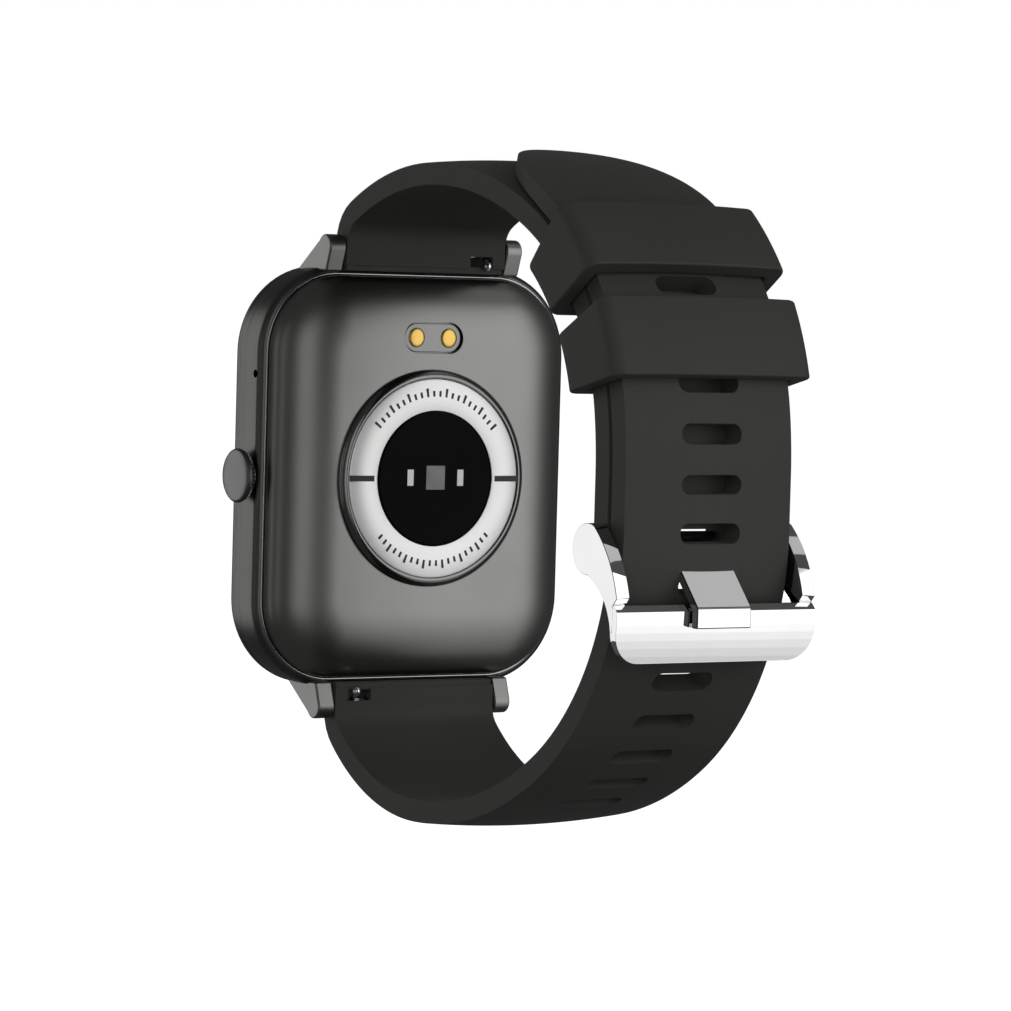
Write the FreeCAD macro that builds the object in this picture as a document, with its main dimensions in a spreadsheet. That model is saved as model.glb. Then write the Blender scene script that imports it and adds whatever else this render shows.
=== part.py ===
"""Smartwatch with a 20 mm silicone band, buckled shut.

Millimetres. +X is the crown side, +Z is 12 o'clock, the display faces -Y and the wrist lies
towards +Y. The origin is the centre of the wrist opening. Distances through the case are
depths: they are measured from the plane of the back cover's rim, positive towards the display
and negative towards the wrist.
"""
import FreeCAD, Part
import math
import os

import Sketcher
from FreeCAD import Placement, Rotation, Vector

doc = FreeCAD.newDocument("smartwatch")
sheet = doc.addObject("Spreadsheet::Sheet", "Sizes")

SIZES = {
    # case
    "rim_offset": 26.0,          # origin to the plane of the back cover's rim
    "case_width": 38.0,
    "case_height": 44.0,
    "case_radius": 9.2,
    "frame_depth": 6.0,
    "frame_straight": 2.8,       # depth at which the side starts to lean in
    "frame_lean": 6.0,           # degrees
    "front_round": 1.2,
    "back_round": 0.8,
    "frame_wall": 1.8,
    "front_ledge": 1.4,          # width of the shelf that carries the glass
    "ledge_depth": 4.9,
    "seat_depth": 0.6,
    "glass_thickness": 1.6,
    "glass_margin": 1.5,         # frame edge to glass edge, seen from the front
    "glass_round": 1.1,
    "bond_thickness": 0.2,
    "panel_thickness": 0.9,
    "fit": 0.05,                 # clearance all round pieces that drop into a seat
    "loose_fit": 0.2,
    # back cover and sensor
    "rim_margin": 0.97,          # frame edge to cover edge
    "flange": 0.6,
    "gasket": 0.2,
    "gasket_width": 0.6,
    "dome_height": 3.5,
    "dome_run": 7.0,             # how far in from the rim the dome is still rising
    "cover_wall": 1.0,
    "sensor_radius": 10.4,
    "sensor_proud": 0.96,        # lens centre above the flat of the dome
    "lens_thickness": 1.1,
    "lens_crown": 0.3,
    "ring_width": 0.95,
    "ring_lip": 0.55,
    "ring_neck": 0.4,
    "contact_pitch": 4.0,
    "contact_radius": 1.05,
    "contact_z": 14.72,
    "contact_pocket": 0.4,
    "pocket_length": 7.1,
    "pocket_height": 3.0,
    "pin_radius": 0.5,
    "board_thickness": 0.6,
    "chip_height": 0.45,
    # inside
    "battery_width": 21.0,
    "battery_height": 24.5,
    "battery_thickness": 3.5,
    "motor_radius": 4.0,
    "motor_thickness": 2.7,
    "tray_margin": 1.6,          # frame's inner wall to the tray
    "tray_wall": 1.2,
    "tray_floor": 0.8,
    "main_thickness": 0.8,
    "screw_radius": 0.5,
    "screw_head": 0.9,
    "screw_inset": 3.8,          # tray edge to the screws
    # crown and microphone
    "crown_depth": 2.0,
    "crown_gap": 0.35,           # crown base to the frame: room for the press
    "cap_radius": 2.8,
    "cap_thickness": 0.5,
    "knurl_radius": 2.6,
    "knurl_length": 0.5,
    "base_radius": 2.2,
    "base_length": 0.25,
    "stem_radius": 0.7,
    "stem_fit": 0.08,
    "plunger_radius": 0.5,
    "mic_z": 10.6,
    "mic_depth": 1.15,
    "mic_radius": 0.3,
    # lugs and spring bars
    "strap_width": 20.0,
    "lug_side": 0.15,            # strap edge to lug
    "lug_width": 2.0,
    "lug_tip": 1.25,
    "bar_depth": -0.5,
    "bar_reach": 2.0,            # spring bar beyond the case edge
    "bar_radius": 0.75,
    "bar_bore": 0.45,
    "tip_radius": 0.4,
    "tip_engage": 1.0,
    "release_travel": 1.2,
    "knob_radius": 0.5,
    "knob_reach": 2.1,
    "knob_x": 7.5,
    # band
    "short_thickness": 2.75,
    "long_thickness": 2.7,
    "layer_gap": 0.06,
    "wrist_depth": 21.85,        # origin to the inner face of the band at the back
    "end_outer": 1.1,            # depth of the strap end's outer face at the lugs
    "bar_cover": 0.3,            # straight part of a strap end beyond the spring bar
    "shoulder_radius": 2.6,
    "strap_gap": 0.1,            # case to the strap ends
    "shoulder_turn": 61.0,       # degrees, at the top lugs
    "low_shoulder_turn": 47.0,   # degrees, at the bottom lugs
    "roof_radius": 36.0,         # the short strap's inner face, from the top to the buckle
    "roof_turn": 30.0,
    "keeper_radius": 24.0,
    "keeper_turn": 52.0,
    "blend_radius": 40.0,
    "belly_radius": 38.0,        # the long strap's inner face, from the bottom to the buckle
    "belly_turn": 33.5,
    "heel_radius": 27.7,
    "tip_length": 15.7,
    "tip_turn": 21.0,            # how far the long strap goes on past the keepers
    "slot_pitch": 4.65,
    "slot_length": 7.1,
    "slot_width": 1.9,
    # keepers
    "keeper_length": 7.0,
    "keeper_wall": 1.7,
    "keeper_fit": 0.25,
    "lower_keeper_at": 21.5,     # degrees up from the level of the arc's centre
    "upper_keeper_at": 43.0,
    # buckle
    "pin_drop": 2.0,             # how far below the straight part the pin sits
    "pin_rod": 0.75,
    "pin_fit": 0.15,
    "arm_gap": 0.45,              # strap edge to the buckle's arms
    "arm_width": 1.5,
    "paddle_radius": 2.5,
    "paddle_back": 5.25,         # plate's outer face to the middle of the round arm ends
    "plate_stand": 1.54,         # long strap's outer face to the outer face of the plate
    "plate_thickness": 1.1,
    "plate_drop": 5.0,           # pin to the top of the plate
    "plate_height": 5.6,
    "plate_corner": 3.0,
    "plate_chamfer": 0.6,
    "tang_width": 6.4,
    "tang_thickness": 0.9,
    "tang_slope": 49.0,
    "tang_loop": 1.75,
    "tang_hook": 2.0,
    "hook_gap": 0.22,            # plate to the tang's hook
    "tang_play": 0.75,
    "tang_fit": 0.15,
}
for row, (alias, number) in enumerate(SIZES.items(), start=1):
    sheet.set(f"A{row}", alias)
    sheet.set(f"B{row}", str(number))
    sheet.setAlias(f"B{row}", alias)
doc.recompute()


class Size:
    """A length that knows both its number and the sheet expression that gives it."""

    def __init__(self, number, text):
        self.number = number
        self.text = text

    def __float__(self):
        return self.number

    def __add__(self, other):
        other = size(other)
        return Size(self.number + other.number, f"({self.text} + {other.text})")

    def __sub__(self, other):
        other = size(other)
        return Size(self.number - other.number, f"({self.text} - {other.text})")

    def __mul__(self, factor):
        return Size(self.number * factor, f"({self.text} * {factor})")

    def __truediv__(self, factor):
        return Size(self.number / factor, f"({self.text} / {factor})")

    def __neg__(self):
        return self * -1

    def __radd__(self, other):
        return size(other) + self

    def __rsub__(self, other):
        return size(other) - self

    __rmul__ = __mul__


def size(value):
    """A Size from a sheet alias, a plain number or a Size."""
    if isinstance(value, Size):
        return value
    if isinstance(value, str):
        return Size(float(sheet.get(value)), f"Sizes.{value}")
    return Size(float(value), f"{float(value)}")


def mm(value):
    """The plain number of a size."""
    return float(size(value))


# ---------------------------------------------------------------- builders
nodes = []


def keep(obj, label):
    """Make an object a sub-part: its label names the node."""
    obj.Label = label
    nodes.append(obj)
    return obj


def place(obj, x, y, z, rotation=Rotation()):
    """Turn an object, and bind its place to the sheet."""
    obj.Placement = Placement(Vector(), rotation)
    for axis, value in zip("xyz", (x, y, z)):
        obj.setExpression(f"Placement.Base.{axis}", size(value).text)


def box(name, x, y, z):
    """A box from three (low, high) pairs."""
    obj = doc.addObject("Part::Box", name)
    for side, (low, high) in zip(("Length", "Width", "Height"), (x, y, z)):
        obj.setExpression(side, (size(high) - low).text)
    place(obj, x[0], y[0], z[0])
    return obj


ALONG = {"x": Rotation(Vector(0, 1, 0), 90), "y": Rotation(Vector(1, 0, 0), -90), "z": Rotation()}


def rod(name, axis, start, radius, length):
    """A cylinder along +x, +y or +z from the centre of its first face."""
    obj = doc.addObject("Part::Cylinder", name)
    obj.setExpression("Radius", size(radius).text)
    obj.setExpression("Height", size(length).text)
    place(obj, *start, ALONG[axis])
    return obj


def fuse(name, *shapes):
    obj = doc.addObject("Part::MultiFuse", name)
    obj.Shapes = list(shapes)
    return obj


def cut(name, base, *tools):
    obj = doc.addObject("Part::Cut", name)
    obj.Base = base
    obj.Tool = tools[0] if len(tools) == 1 else fuse(name + "_tools", *tools)
    return obj


def group(name, *shapes):
    obj = doc.addObject("Part::Compound", name)
    obj.Links = list(shapes)
    return obj


def solid(name, shape):
    """A feature whose shape is worked out below from the sheet's sizes."""
    obj = doc.addObject("Part::Feature", name)
    obj.Shape = shape
    obj.Placement = shape.Placement
    return obj


def new_body(name):
    return doc.addObject("PartDesign::Body", name)


def plane(body, role):
    return next(item for item in body.Origin.OriginFeatures if item.Role == role)


def sketch_at(body, name, depth, role="XZ_Plane", shift=(0, 0)):
    """A sketch on an origin plane. On XZ it lies at a depth and faces the display."""
    sketch = body.newObject("Sketcher::SketchObject", name)
    sketch.AttachmentSupport = (plane(body, role), "")
    sketch.MapMode = "FlatFace"
    offset = size("rim_offset") + depth if role == "XZ_Plane" else size(depth)
    for axis, value in zip("xyz", (*shift, offset)):
        sketch.setExpression(f"AttachmentOffset.Base.{axis}", size(value).text)
    return sketch


def bind(sketch, constraint, name, value):
    """Add a dimension to a sketch and tie it to the sheet."""
    index = sketch.addConstraint(constraint)
    sketch.renameConstraint(index, name)
    sketch.setExpression(f"Constraints.{name}", size(value).text)


def rounded(sketch, width, height, radius):
    """A rectangle with round corners about the sketch's origin, fully constrained."""
    half_w, half_h, r = mm(width) / 2, mm(height) / 2, mm(radius)
    corners = [(1, 1, 0), (-1, 1, 90), (-1, -1, 180), (1, -1, 270)]
    arcs = []
    for sx, sy, start in corners:
        centre = Vector(sx * (half_w - r), sy * (half_h - r), 0)
        circle = Part.Circle(centre, Vector(0, 0, 1), r)
        arcs.append(Part.ArcOfCircle(circle, math.radians(start), math.radians(start + 90)))
    for turn, arc in enumerate(arcs):
        before = arcs[turn - 1]
        sketch.addGeometry(Part.LineSegment(before.EndPoint, arc.StartPoint), False)
        sketch.addGeometry(arc, False)
    for index in range(8):
        sketch.addConstraint(Sketcher.Constraint("Tangent", index, 2, (index + 1) % 8, 1))
    for index in (0, 4):
        sketch.addConstraint(Sketcher.Constraint("Vertical", index))
    for index in (2, 6):
        sketch.addConstraint(Sketcher.Constraint("Horizontal", index))
    for index in (3, 5, 7):
        sketch.addConstraint(Sketcher.Constraint("Equal", 1, index))
    bind(sketch, Sketcher.Constraint("DistanceX", -1, 1, 0, 1, half_w), "right", size(width) / 2)
    bind(sketch, Sketcher.Constraint("DistanceX", 4, 1, -1, 1, half_w), "left", size(width) / 2)
    bind(sketch, Sketcher.Constraint("DistanceY", -1, 1, 2, 1, half_h), "top", size(height) / 2)
    bind(sketch, Sketcher.Constraint("DistanceY", 6, 1, -1, 1, half_h), "bottom", size(height) / 2)
    bind(sketch, Sketcher.Constraint("Radius", 1, r), "radius", radius)


def ring_circle(sketch, radius, name="radius"):
    """A circle about the sketch's origin."""
    index = sketch.addGeometry(Part.Circle(Vector(), Vector(0, 0, 1), mm(radius)), False)
    sketch.addConstraint(Sketcher.Constraint("Coincident", index, 3, -1, 1))
    bind(sketch, Sketcher.Constraint("Radius", index, mm(radius)), name, radius)


def pad(body, sketch, length, name):
    """Pad a depth sketch towards the display."""
    feature = body.newObject("PartDesign::Pad", name)
    feature.Profile = sketch
    feature.setExpression("Length", size(length).text)
    return feature


def pocket(body, sketch, length, name, toward_wrist=False):
    """Pocket a depth sketch: towards the display unless told otherwise. It has to cut."""
    doc.recompute()
    before = body.Shape.Volume
    feature = body.newObject("PartDesign::Pocket", name)
    feature.Profile = sketch
    feature.setExpression("Length", size(length).text)
    feature.Reversed = not toward_wrist
    doc.recompute()
    if not body.Shape.Volume < before - 1e-3:
        raise ValueError(f"{name} cuts nothing")
    return feature


def edges_at(shape, y):
    """Names of the edges that lie wholly in the plane at y."""
    return [f"Edge{number}" for number, edge in enumerate(shape.Edges, start=1)
            if abs(edge.BoundBox.YMin - y) < 1e-4 and abs(edge.BoundBox.YMax - y) < 1e-4]


def round_edges(body, base, y, radius, name):
    """Fillet the loop of edges that lies at y."""
    doc.recompute()
    feature = body.newObject("PartDesign::Fillet", name)
    feature.Base = (base, edges_at(base.Shape, y))
    feature.setExpression("Radius", size(radius).text)
    doc.recompute()
    return feature


def slab(name, width, height, radius, depth, thickness, shift=(0, 0)):
    """A round-cornered plate whose wrist face lies at a depth."""
    body = new_body(name)
    outline = sketch_at(body, name + "_outline", depth, shift=shift)
    rounded(outline, width, height, radius)
    pad(body, outline, thickness, name + "_pad")
    return body


def at_depth(depth):
    """The y of a depth."""
    return -(size("rim_offset") + depth)


def half(alias):
    return size(alias) / 2


# ---------------------------------------------------------------- case frame
def make_frame():
    """The metal ring of the case with its four lugs."""
    body = new_body("frame_casting")
    outline = sketch_at(body, "frame_outline", 0)
    rounded(outline, "case_width", "case_height", "case_radius")
    side = pad(body, outline, "frame_straight", "frame_side")
    leaning = sketch_at(body, "frame_leaning", "frame_straight")
    rounded(leaning, "case_width", "case_height", "case_radius")
    front = pad(body, leaning, size("frame_depth") - "frame_straight", "frame_front")
    front.setExpression("TaperAngle", (-size("frame_lean")).text)
    doc.recompute()
    shut = round_edges(body, front, mm(at_depth("frame_depth")), "front_round", "front_rounding")
    shut = round_edges(body, shut, mm(at_depth(0)), "back_round", "back_rounding")

    cavity_w = size("case_width") - size("frame_wall") * 2
    cavity_h = size("case_height") - size("frame_wall") * 2
    cavity = sketch_at(body, "cavity_outline", 0)
    rounded(cavity, cavity_w, cavity_h, size("case_radius") - "frame_wall")
    pocket(body, cavity, "ledge_depth", "cavity")
    opening = sketch_at(body, "opening_outline", 0)
    inset = size("glass_margin") + "front_ledge"
    rounded(opening, size("case_width") - inset * 2, size("case_height") - inset * 2,
            size("case_radius") - inset)
    pocket(body, opening, size("frame_depth") + 1, "opening")
    seat = sketch_at(body, "glass_seat_outline", size("frame_depth") - "seat_depth")
    margin = size("glass_margin") - "fit"
    rounded(seat, size("case_width") - margin * 2, size("case_height") - margin * 2,
            size("case_radius") - margin)
    pocket(body, seat, size("seat_depth") + 1, "glass_seat")
    cover_seat = sketch_at(body, "cover_seat_outline", -1)
    margin = size("rim_margin") - "fit"
    rounded(cover_seat, size("case_width") - margin * 2, size("case_height") - margin * 2,
            size("case_radius") - margin)
    pocket(body, cover_seat, size("flange") + "gasket" + 1, "cover_seat")

    bar_z = half("case_height") + "bar_reach"
    lugs = [solid(f"lug_{name}", lug_shape(sx, sz))
            for name, sx, sz in (("a", 1, 1), ("b", -1, 1), ("c", 1, -1), ("d", -1, -1))]
    whole = fuse("frame_with_lugs", body, *lugs)
    reach = half("strap_width") + "tip_engage" + "loose_fit"
    holes = [rod(f"bar_hole_{name}", "x", (-reach, at_depth("bar_depth"), bar_z * sign),
                 size("tip_radius") + "fit", reach * 2)
             for name, sign in (("top", 1), ("bottom", -1))]
    crown_hole = rod("crown_hole", "x", (half("case_width") - "frame_wall" - 1,
                     at_depth("crown_depth"), 0), size("stem_radius") + "stem_fit", 4)
    mic_hole = rod("mic_hole", "x", (half("case_width") - "frame_wall" - 1,
                   at_depth("mic_depth"), "mic_z"), "mic_radius", 4)
    keep(cut("mid_frame", whole, *holes, crown_hole, mic_hole), "mid_frame")


def lug_shape(sx, sz):
    """A tapering horn from the case edge to a round tip about the spring bar."""
    tip_y, tip_z = mm(at_depth("bar_depth")), mm("case_height") / 2 + mm("bar_reach")
    edge_z = mm("case_height") / 2
    inner_z = edge_z - mm("rim_margin") + 2 * mm("fit") + 0.15
    root_z = edge_z - mm("frame_wall") * 0.6
    front_root = Vector(0, mm(at_depth(mm("frame_straight") + 1.4)), edge_z - 0.35)
    tip = mm("lug_tip")
    front = math.radians(140)
    back = math.radians(-10)
    front_tip = Vector(0, tip_y + tip * math.cos(front), tip_z + tip * math.sin(front))
    over_tip = Vector(0, tip_y + tip * math.cos(math.radians(65)),
                      tip_z + tip * math.sin(math.radians(65)))
    back_tip = Vector(0, tip_y + tip * math.cos(back), tip_z + tip * math.sin(back))
    back_root = Vector(0, mm(at_depth(-0.5)), inner_z)
    under_rim = mm(at_depth(mm("flange") + mm("gasket") + mm("loose_fit")))
    step = Vector(0, under_rim, inner_z)
    root = Vector(0, under_rim, root_z)
    front_base = Vector(0, front_root.y, root_z)
    arc = Part.Arc(back_tip, over_tip, front_tip).toShape()
    chain = Part.makePolygon([front_tip, front_root, front_base, root, step, back_root, back_tip])
    face = Part.Face(Part.Wire([arc] + chain.Edges))
    horn = face.extrude(Vector(mm("lug_width"), 0, 0))
    horn.translate(Vector(mm("strap_width") / 2, 0, 0))
    if sx < 0:
        horn = horn.mirror(Vector(), Vector(1, 0, 0))
    if sz < 0:
        horn = horn.mirror(Vector(), Vector(0, 0, 1))
    return horn


# ---------------------------------------------------------------- glass and display
def make_display():
    width, height = size("case_width"), size("case_height")
    margin = size("glass_margin")
    glass_back = size("frame_depth") - "seat_depth" + "bond_thickness"
    radius = size("case_radius") - margin
    glass = new_body("display_glass")
    outline = sketch_at(glass, "glass_outline", glass_back)
    rounded(outline, width - margin * 2, height - margin * 2, radius)
    sheet_pad = pad(glass, outline, "glass_thickness", "glass_pad")
    front_y = mm(at_depth(glass_back + "glass_thickness"))
    round_edges(glass, sheet_pad, front_y, "glass_round", "glass_edge")
    keep(glass, "display_glass")

    bond = new_body("glass_bond")
    outline = sketch_at(bond, "bond_outline", size("frame_depth") - "seat_depth")
    rounded(outline, width - margin * 2, height - margin * 2, radius)
    pad(bond, outline, "bond_thickness", "bond_pad")
    hole = sketch_at(bond, "bond_hole", size("frame_depth") - "seat_depth")
    inset = margin + "front_ledge"
    rounded(hole, width - inset * 2, height - inset * 2, size("case_radius") - inset)
    pocket(bond, hole, "bond_thickness", "bond_window")
    keep(bond, "glass_bond")

    inset = inset + "loose_fit"
    keep(slab("display_panel", width - inset * 2, height - inset * 2,
              size("case_radius") - inset, glass_back - "panel_thickness", "panel_thickness"),
         "display_panel")


# ---------------------------------------------------------------- back cover
DOME_STEPS = 9


def dome(body, name, outline, rise, run, base_depth):
    """Loft round-cornered outlines up a quarter ellipse, from the rim to the flat top."""
    width, height, radius = outline
    sections = []
    for step in range(DOME_STEPS + 1):
        angle = math.radians(90 * step / DOME_STEPS)
        inset = size(run) * round(1 - math.cos(angle), 6)
        lift = size(rise) * round(math.sin(angle), 6)
        section = sketch_at(body, f"{name}_{step}", size(base_depth) - lift)
        rounded(section, width - inset * 2, height - inset * 2, radius - inset)
        sections.append(section)
    return sections


def make_cover():
    """The domed back cover, hollow, with the sensor opening and the contact pocket."""
    width = size("case_width") - size("rim_margin") * 2
    height = size("case_height") - size("rim_margin") * 2
    radius = size("case_radius") - "rim_margin"
    body = new_body("cover_moulding")
    flange = sketch_at(body, "flange_outline", 0)
    rounded(flange, width, height, radius)
    pad(body, flange, "flange", "flange_pad")
    doc.recompute()
    sections = dome(body, "dome", (width, height, radius), "dome_height", "dome_run", 0)
    loft = body.newObject("PartDesign::AdditiveLoft", "dome_loft")
    loft.Profile = sections[0]
    loft.Sections = sections[1:]
    loft.Ruled = True
    doc.recompute()

    wall = size("cover_wall")
    inner = (width - wall * 2, height - wall * 2, radius - wall)
    hollow = sketch_at(body, "hollow_outline", 0)
    rounded(hollow, *inner)
    pocket(body, hollow, size("flange") + 1, "hollow")
    before = body.Shape.Volume
    sections = dome(body, "hollow_dome", inner, size("dome_height") - wall,
                    size("dome_run") - wall, 0)
    loft = body.newObject("PartDesign::SubtractiveLoft", "hollow_loft")
    loft.Profile = sections[0]
    loft.Sections = sections[1:]
    loft.Ruled = True
    doc.recompute()
    if not body.Shape.Volume < before - 1:
        raise ValueError("the cover's hollow cuts nothing")

    sensor_hole = sketch_at(body, "sensor_hole", -(size("dome_height") + 1))
    ring_circle(sensor_hole, size("sensor_radius") + "fit" + "ring_neck" + "fit")
    pocket(body, sensor_hole, size("cover_wall") + 2, "sensor_opening")

    floor_depth = -(size("dome_height") - "contact_pocket")
    length = size("pocket_length")
    tall = size("pocket_height")
    trough = sketch_at(body, "trough_outline", floor_depth, shift=(0, "contact_z"))
    rounded(trough, length, tall, tall / 2 - 0.01)
    pocket(body, trough, size("contact_pocket") + 0.5, "trough", toward_wrist=True)
    doc.recompute()
    holes = [rod(f"contact_hole_{side}", "y",
                 (half("contact_pitch") * sign, at_depth(0), "contact_z"),
                 size("pin_radius") + "fit", size("dome_height") + 1)
             for side, sign in (("left", -1), ("right", 1))]
    keep(cut("back_cover", body, *holes), "back_cover")

    gasket = new_body("cover_gasket")
    outline = sketch_at(gasket, "gasket_outline", "flange")
    rounded(outline, width, height, radius)
    pad(gasket, outline, "gasket", "gasket_pad")
    inside = sketch_at(gasket, "gasket_inside", "flange")
    inset = size("gasket_width")
    rounded(inside, width - inset * 2, height - inset * 2, radius - inset)
    pocket(gasket, inside, "gasket", "gasket_window")
    keep(gasket, "cover_gasket")


def revolve_about_y(name, points):
    """A solid of revolution about the lens axis, from (radius, lift above the rim) points."""
    rim = mm("rim_offset")
    corners = [Vector(radius, lift - rim, 0) for radius, lift in points]
    face = Part.Face(Part.makePolygon(corners + corners[:1]))
    return solid(name, face.revolve(Vector(), Vector(0, 1, 0), 360))


def make_sensor():
    """Optical heart-rate sensor: ring, lens, board, two lamps, photodiode, light barrier."""
    lens_r = mm("sensor_radius")
    top = mm("dome_height") + mm("sensor_proud")
    edge = top - mm("lens_crown")
    under = top - mm("lens_crown") - mm("lens_thickness")
    dome_top = mm("dome_height")
    bore = lens_r + mm("fit")
    neck = bore + mm("ring_neck")
    outer = bore + mm("ring_width")
    keep(revolve_about_y("sensor_ring", [
        (bore, under), (neck, under), (neck, dome_top), (outer, dome_top),
        (outer, dome_top + mm("ring_lip") * 0.5), (outer - 0.3, dome_top + mm("ring_lip")),
        (bore, dome_top + mm("ring_lip"))]), "sensor_ring")

    centre = Vector(0, top - mm("rim_offset"), 0)
    rim_point = Vector(lens_r, edge - mm("rim_offset"), 0)
    sag_point = Vector(lens_r / 2, top - mm("lens_crown") / 4 - mm("rim_offset"), 0)
    low = under - mm("rim_offset")
    arc = Part.Arc(centre, sag_point, rim_point).toShape()
    chain = Part.makePolygon([rim_point, Vector(lens_r, low, 0), Vector(0, low, 0), centre])
    face = Part.Face(Part.Wire([arc] + chain.Edges))
    keep(solid("sensor_lens", face.revolve(Vector(), Vector(0, 1, 0), 360)), "sensor_lens")

    thick = size("board_thickness")
    chip = size("chip_height")
    board_top = size("dome_height") - "cover_wall" - "fit"
    board_low = board_top - thick
    keep(rod("sensor_board", "y", (0, at_depth(-board_low), 0), size("sensor_radius") + 1.4,
             thick), "sensor_board")
    y = (at_depth(-board_top), at_depth(-board_top) + chip)
    lamps = [box(f"lamp_{side}", (size(3.7 * sign) - 0.55, size(3.7 * sign) + 0.55), y,
                 (-0.9, 0.9)) for side, sign in (("left", -1), ("right", 1))]
    keep(group("sensor_leds", *lamps), "sensor_leds")
    keep(box("photodiode", (-1.4, 1.4), y, (-1.3, 1.3)), "photodiode")
    block = box("barrier_block", (-5.2, 5.2), (y[0], y[1] + 0.1), (-2.4, 2.4))
    holes = [box(f"barrier_hole_{side}", (3.7 * sign - 0.9, 3.7 * sign + 0.9),
                 (y[0] - 1, y[1] + 1), (-1.4, 1.4)) for side, sign in (("left", -1), ("right", 1))]
    middle = box("barrier_hole_middle", (-1.7, 1.7), (y[0] - 1, y[1] + 1), (-1.6, 1.6))
    keep(cut("light_barrier", block, *holes, middle), "light_barrier")


def make_charging():
    """Two gold contacts through the cover, and the magnets that hold the charger."""
    floor = size("dome_height") - "contact_pocket"
    pins = []
    magnets = []
    for side, sign in (("left", -1), ("right", 1)):
        x = half("contact_pitch") * sign
        head = rod(f"contact_head_{side}", "y", (x, at_depth(-floor), "contact_z"),
                   "contact_radius", size("contact_pocket") * 0.6)
        shank = rod(f"contact_shank_{side}", "y",
                    (x, at_depth(-(floor - "cover_wall" - 0.4)), "contact_z"), "pin_radius",
                    size("cover_wall") + 0.5)
        pins.append(fuse(f"contact_{side}", head, shank))
        magnets.append(rod(f"magnet_{side}", "y",
                           (sign * 6.4, at_depth(-(floor - "cover_wall" - 1.3)), "contact_z"),
                           1.4, 1.2))
    keep(group("charge_contacts", *pins), "charge_contacts")
    keep(group("charge_magnets", *magnets), "charge_magnets")


# ---------------------------------------------------------------- inside the case
def make_inside():
    """Tray, main board, screws, battery, vibration motor and microphone."""
    wall = size("tray_wall")
    inset = size("frame_wall") + "tray_margin"
    wide = size("case_width") - inset * 2
    tall = size("case_height") - inset * 2
    corner = size("case_radius") - inset
    tray_front = size("ledge_depth") - 0.3
    tray_back = size(0.9)
    tray = new_body("tray_moulding")
    outline = sketch_at(tray, "tray_outline", tray_back)
    rounded(outline, wide, tall, corner)
    pad(tray, outline, tray_front - tray_back, "tray_pad")
    inside = sketch_at(tray, "tray_inside", tray_back)
    rounded(inside, wide - wall * 2, tall - wall * 2, corner - wall)
    pocket(tray, inside, tray_front - tray_back - "tray_floor", "tray_pocket")
    notch = box("tray_notch", (wide / 2 - 2, wide / 2 + 1),
                (at_depth(tray_front - "tray_floor" - "main_thickness"), at_depth(0)), (-2.6, 2.6))

    board_front = tray_front - "tray_floor"
    board_back = board_front - "main_thickness"
    clear = wall + "loose_fit"
    board = slab("main_board_blank", wide - clear * 2, tall - clear * 2, corner - clear,
                 board_back, "main_thickness")
    screws, board_holes, tray_holes = [], [], []
    for number, (sx, sz) in enumerate(((1, 1), (-1, 1), (-1, -1), (1, -1)), start=1):
        x = (wide / 2 - "screw_inset") * sx
        z = (tall / 2 - "screw_inset") * sz
        tip = at_depth(board_front + "tray_floor")
        board_holes.append(rod(f"board_hole_{number}", "y", (x, tip, z),
                               size("screw_radius") + "fit", 3))
        tray_holes.append(rod(f"tray_hole_{number}", "y", (x, tip, z),
                              size("screw_radius") + "fit", 2))
        shank = rod(f"shank_{number}", "y", (x, tip + 0.1, z), "screw_radius",
                    size("tray_floor") + "main_thickness")
        head = rod(f"head_{number}", "y", (x, at_depth(board_back), z), "screw_head", 0.4)
        screws.append(fuse(f"screw_{number}", shank, head))
    keep(cut("tray", tray, notch, *tray_holes), "inner_tray")
    keep(cut("main_board", board, *board_holes), "main_board")
    keep(group("board_screws", *screws), "board_screws")

    battery_back = board_back - 0.2 - "battery_thickness"
    keep(slab("battery", "battery_width", "battery_height", 1.0, battery_back,
              "battery_thickness", shift=(0, -3.9)), "battery")
    motor_z = tall / 2 - wall - "motor_radius" - 0.5
    keep(rod("vibration_motor", "y", (-5.4, at_depth(board_back - 0.1), motor_z),
             "motor_radius", "motor_thickness"), "vibration_motor")
    wall_x = half("case_width") - "frame_wall"
    keep(box("microphone", (wide / 2 + 0.1, wall_x - 0.1),
             (at_depth(2.4), at_depth(size("flange") + "gasket" + 0.1)),
             (size("mic_z") - 1.4, size("mic_z") + 1.4)),
         "microphone")
    return board_back


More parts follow.
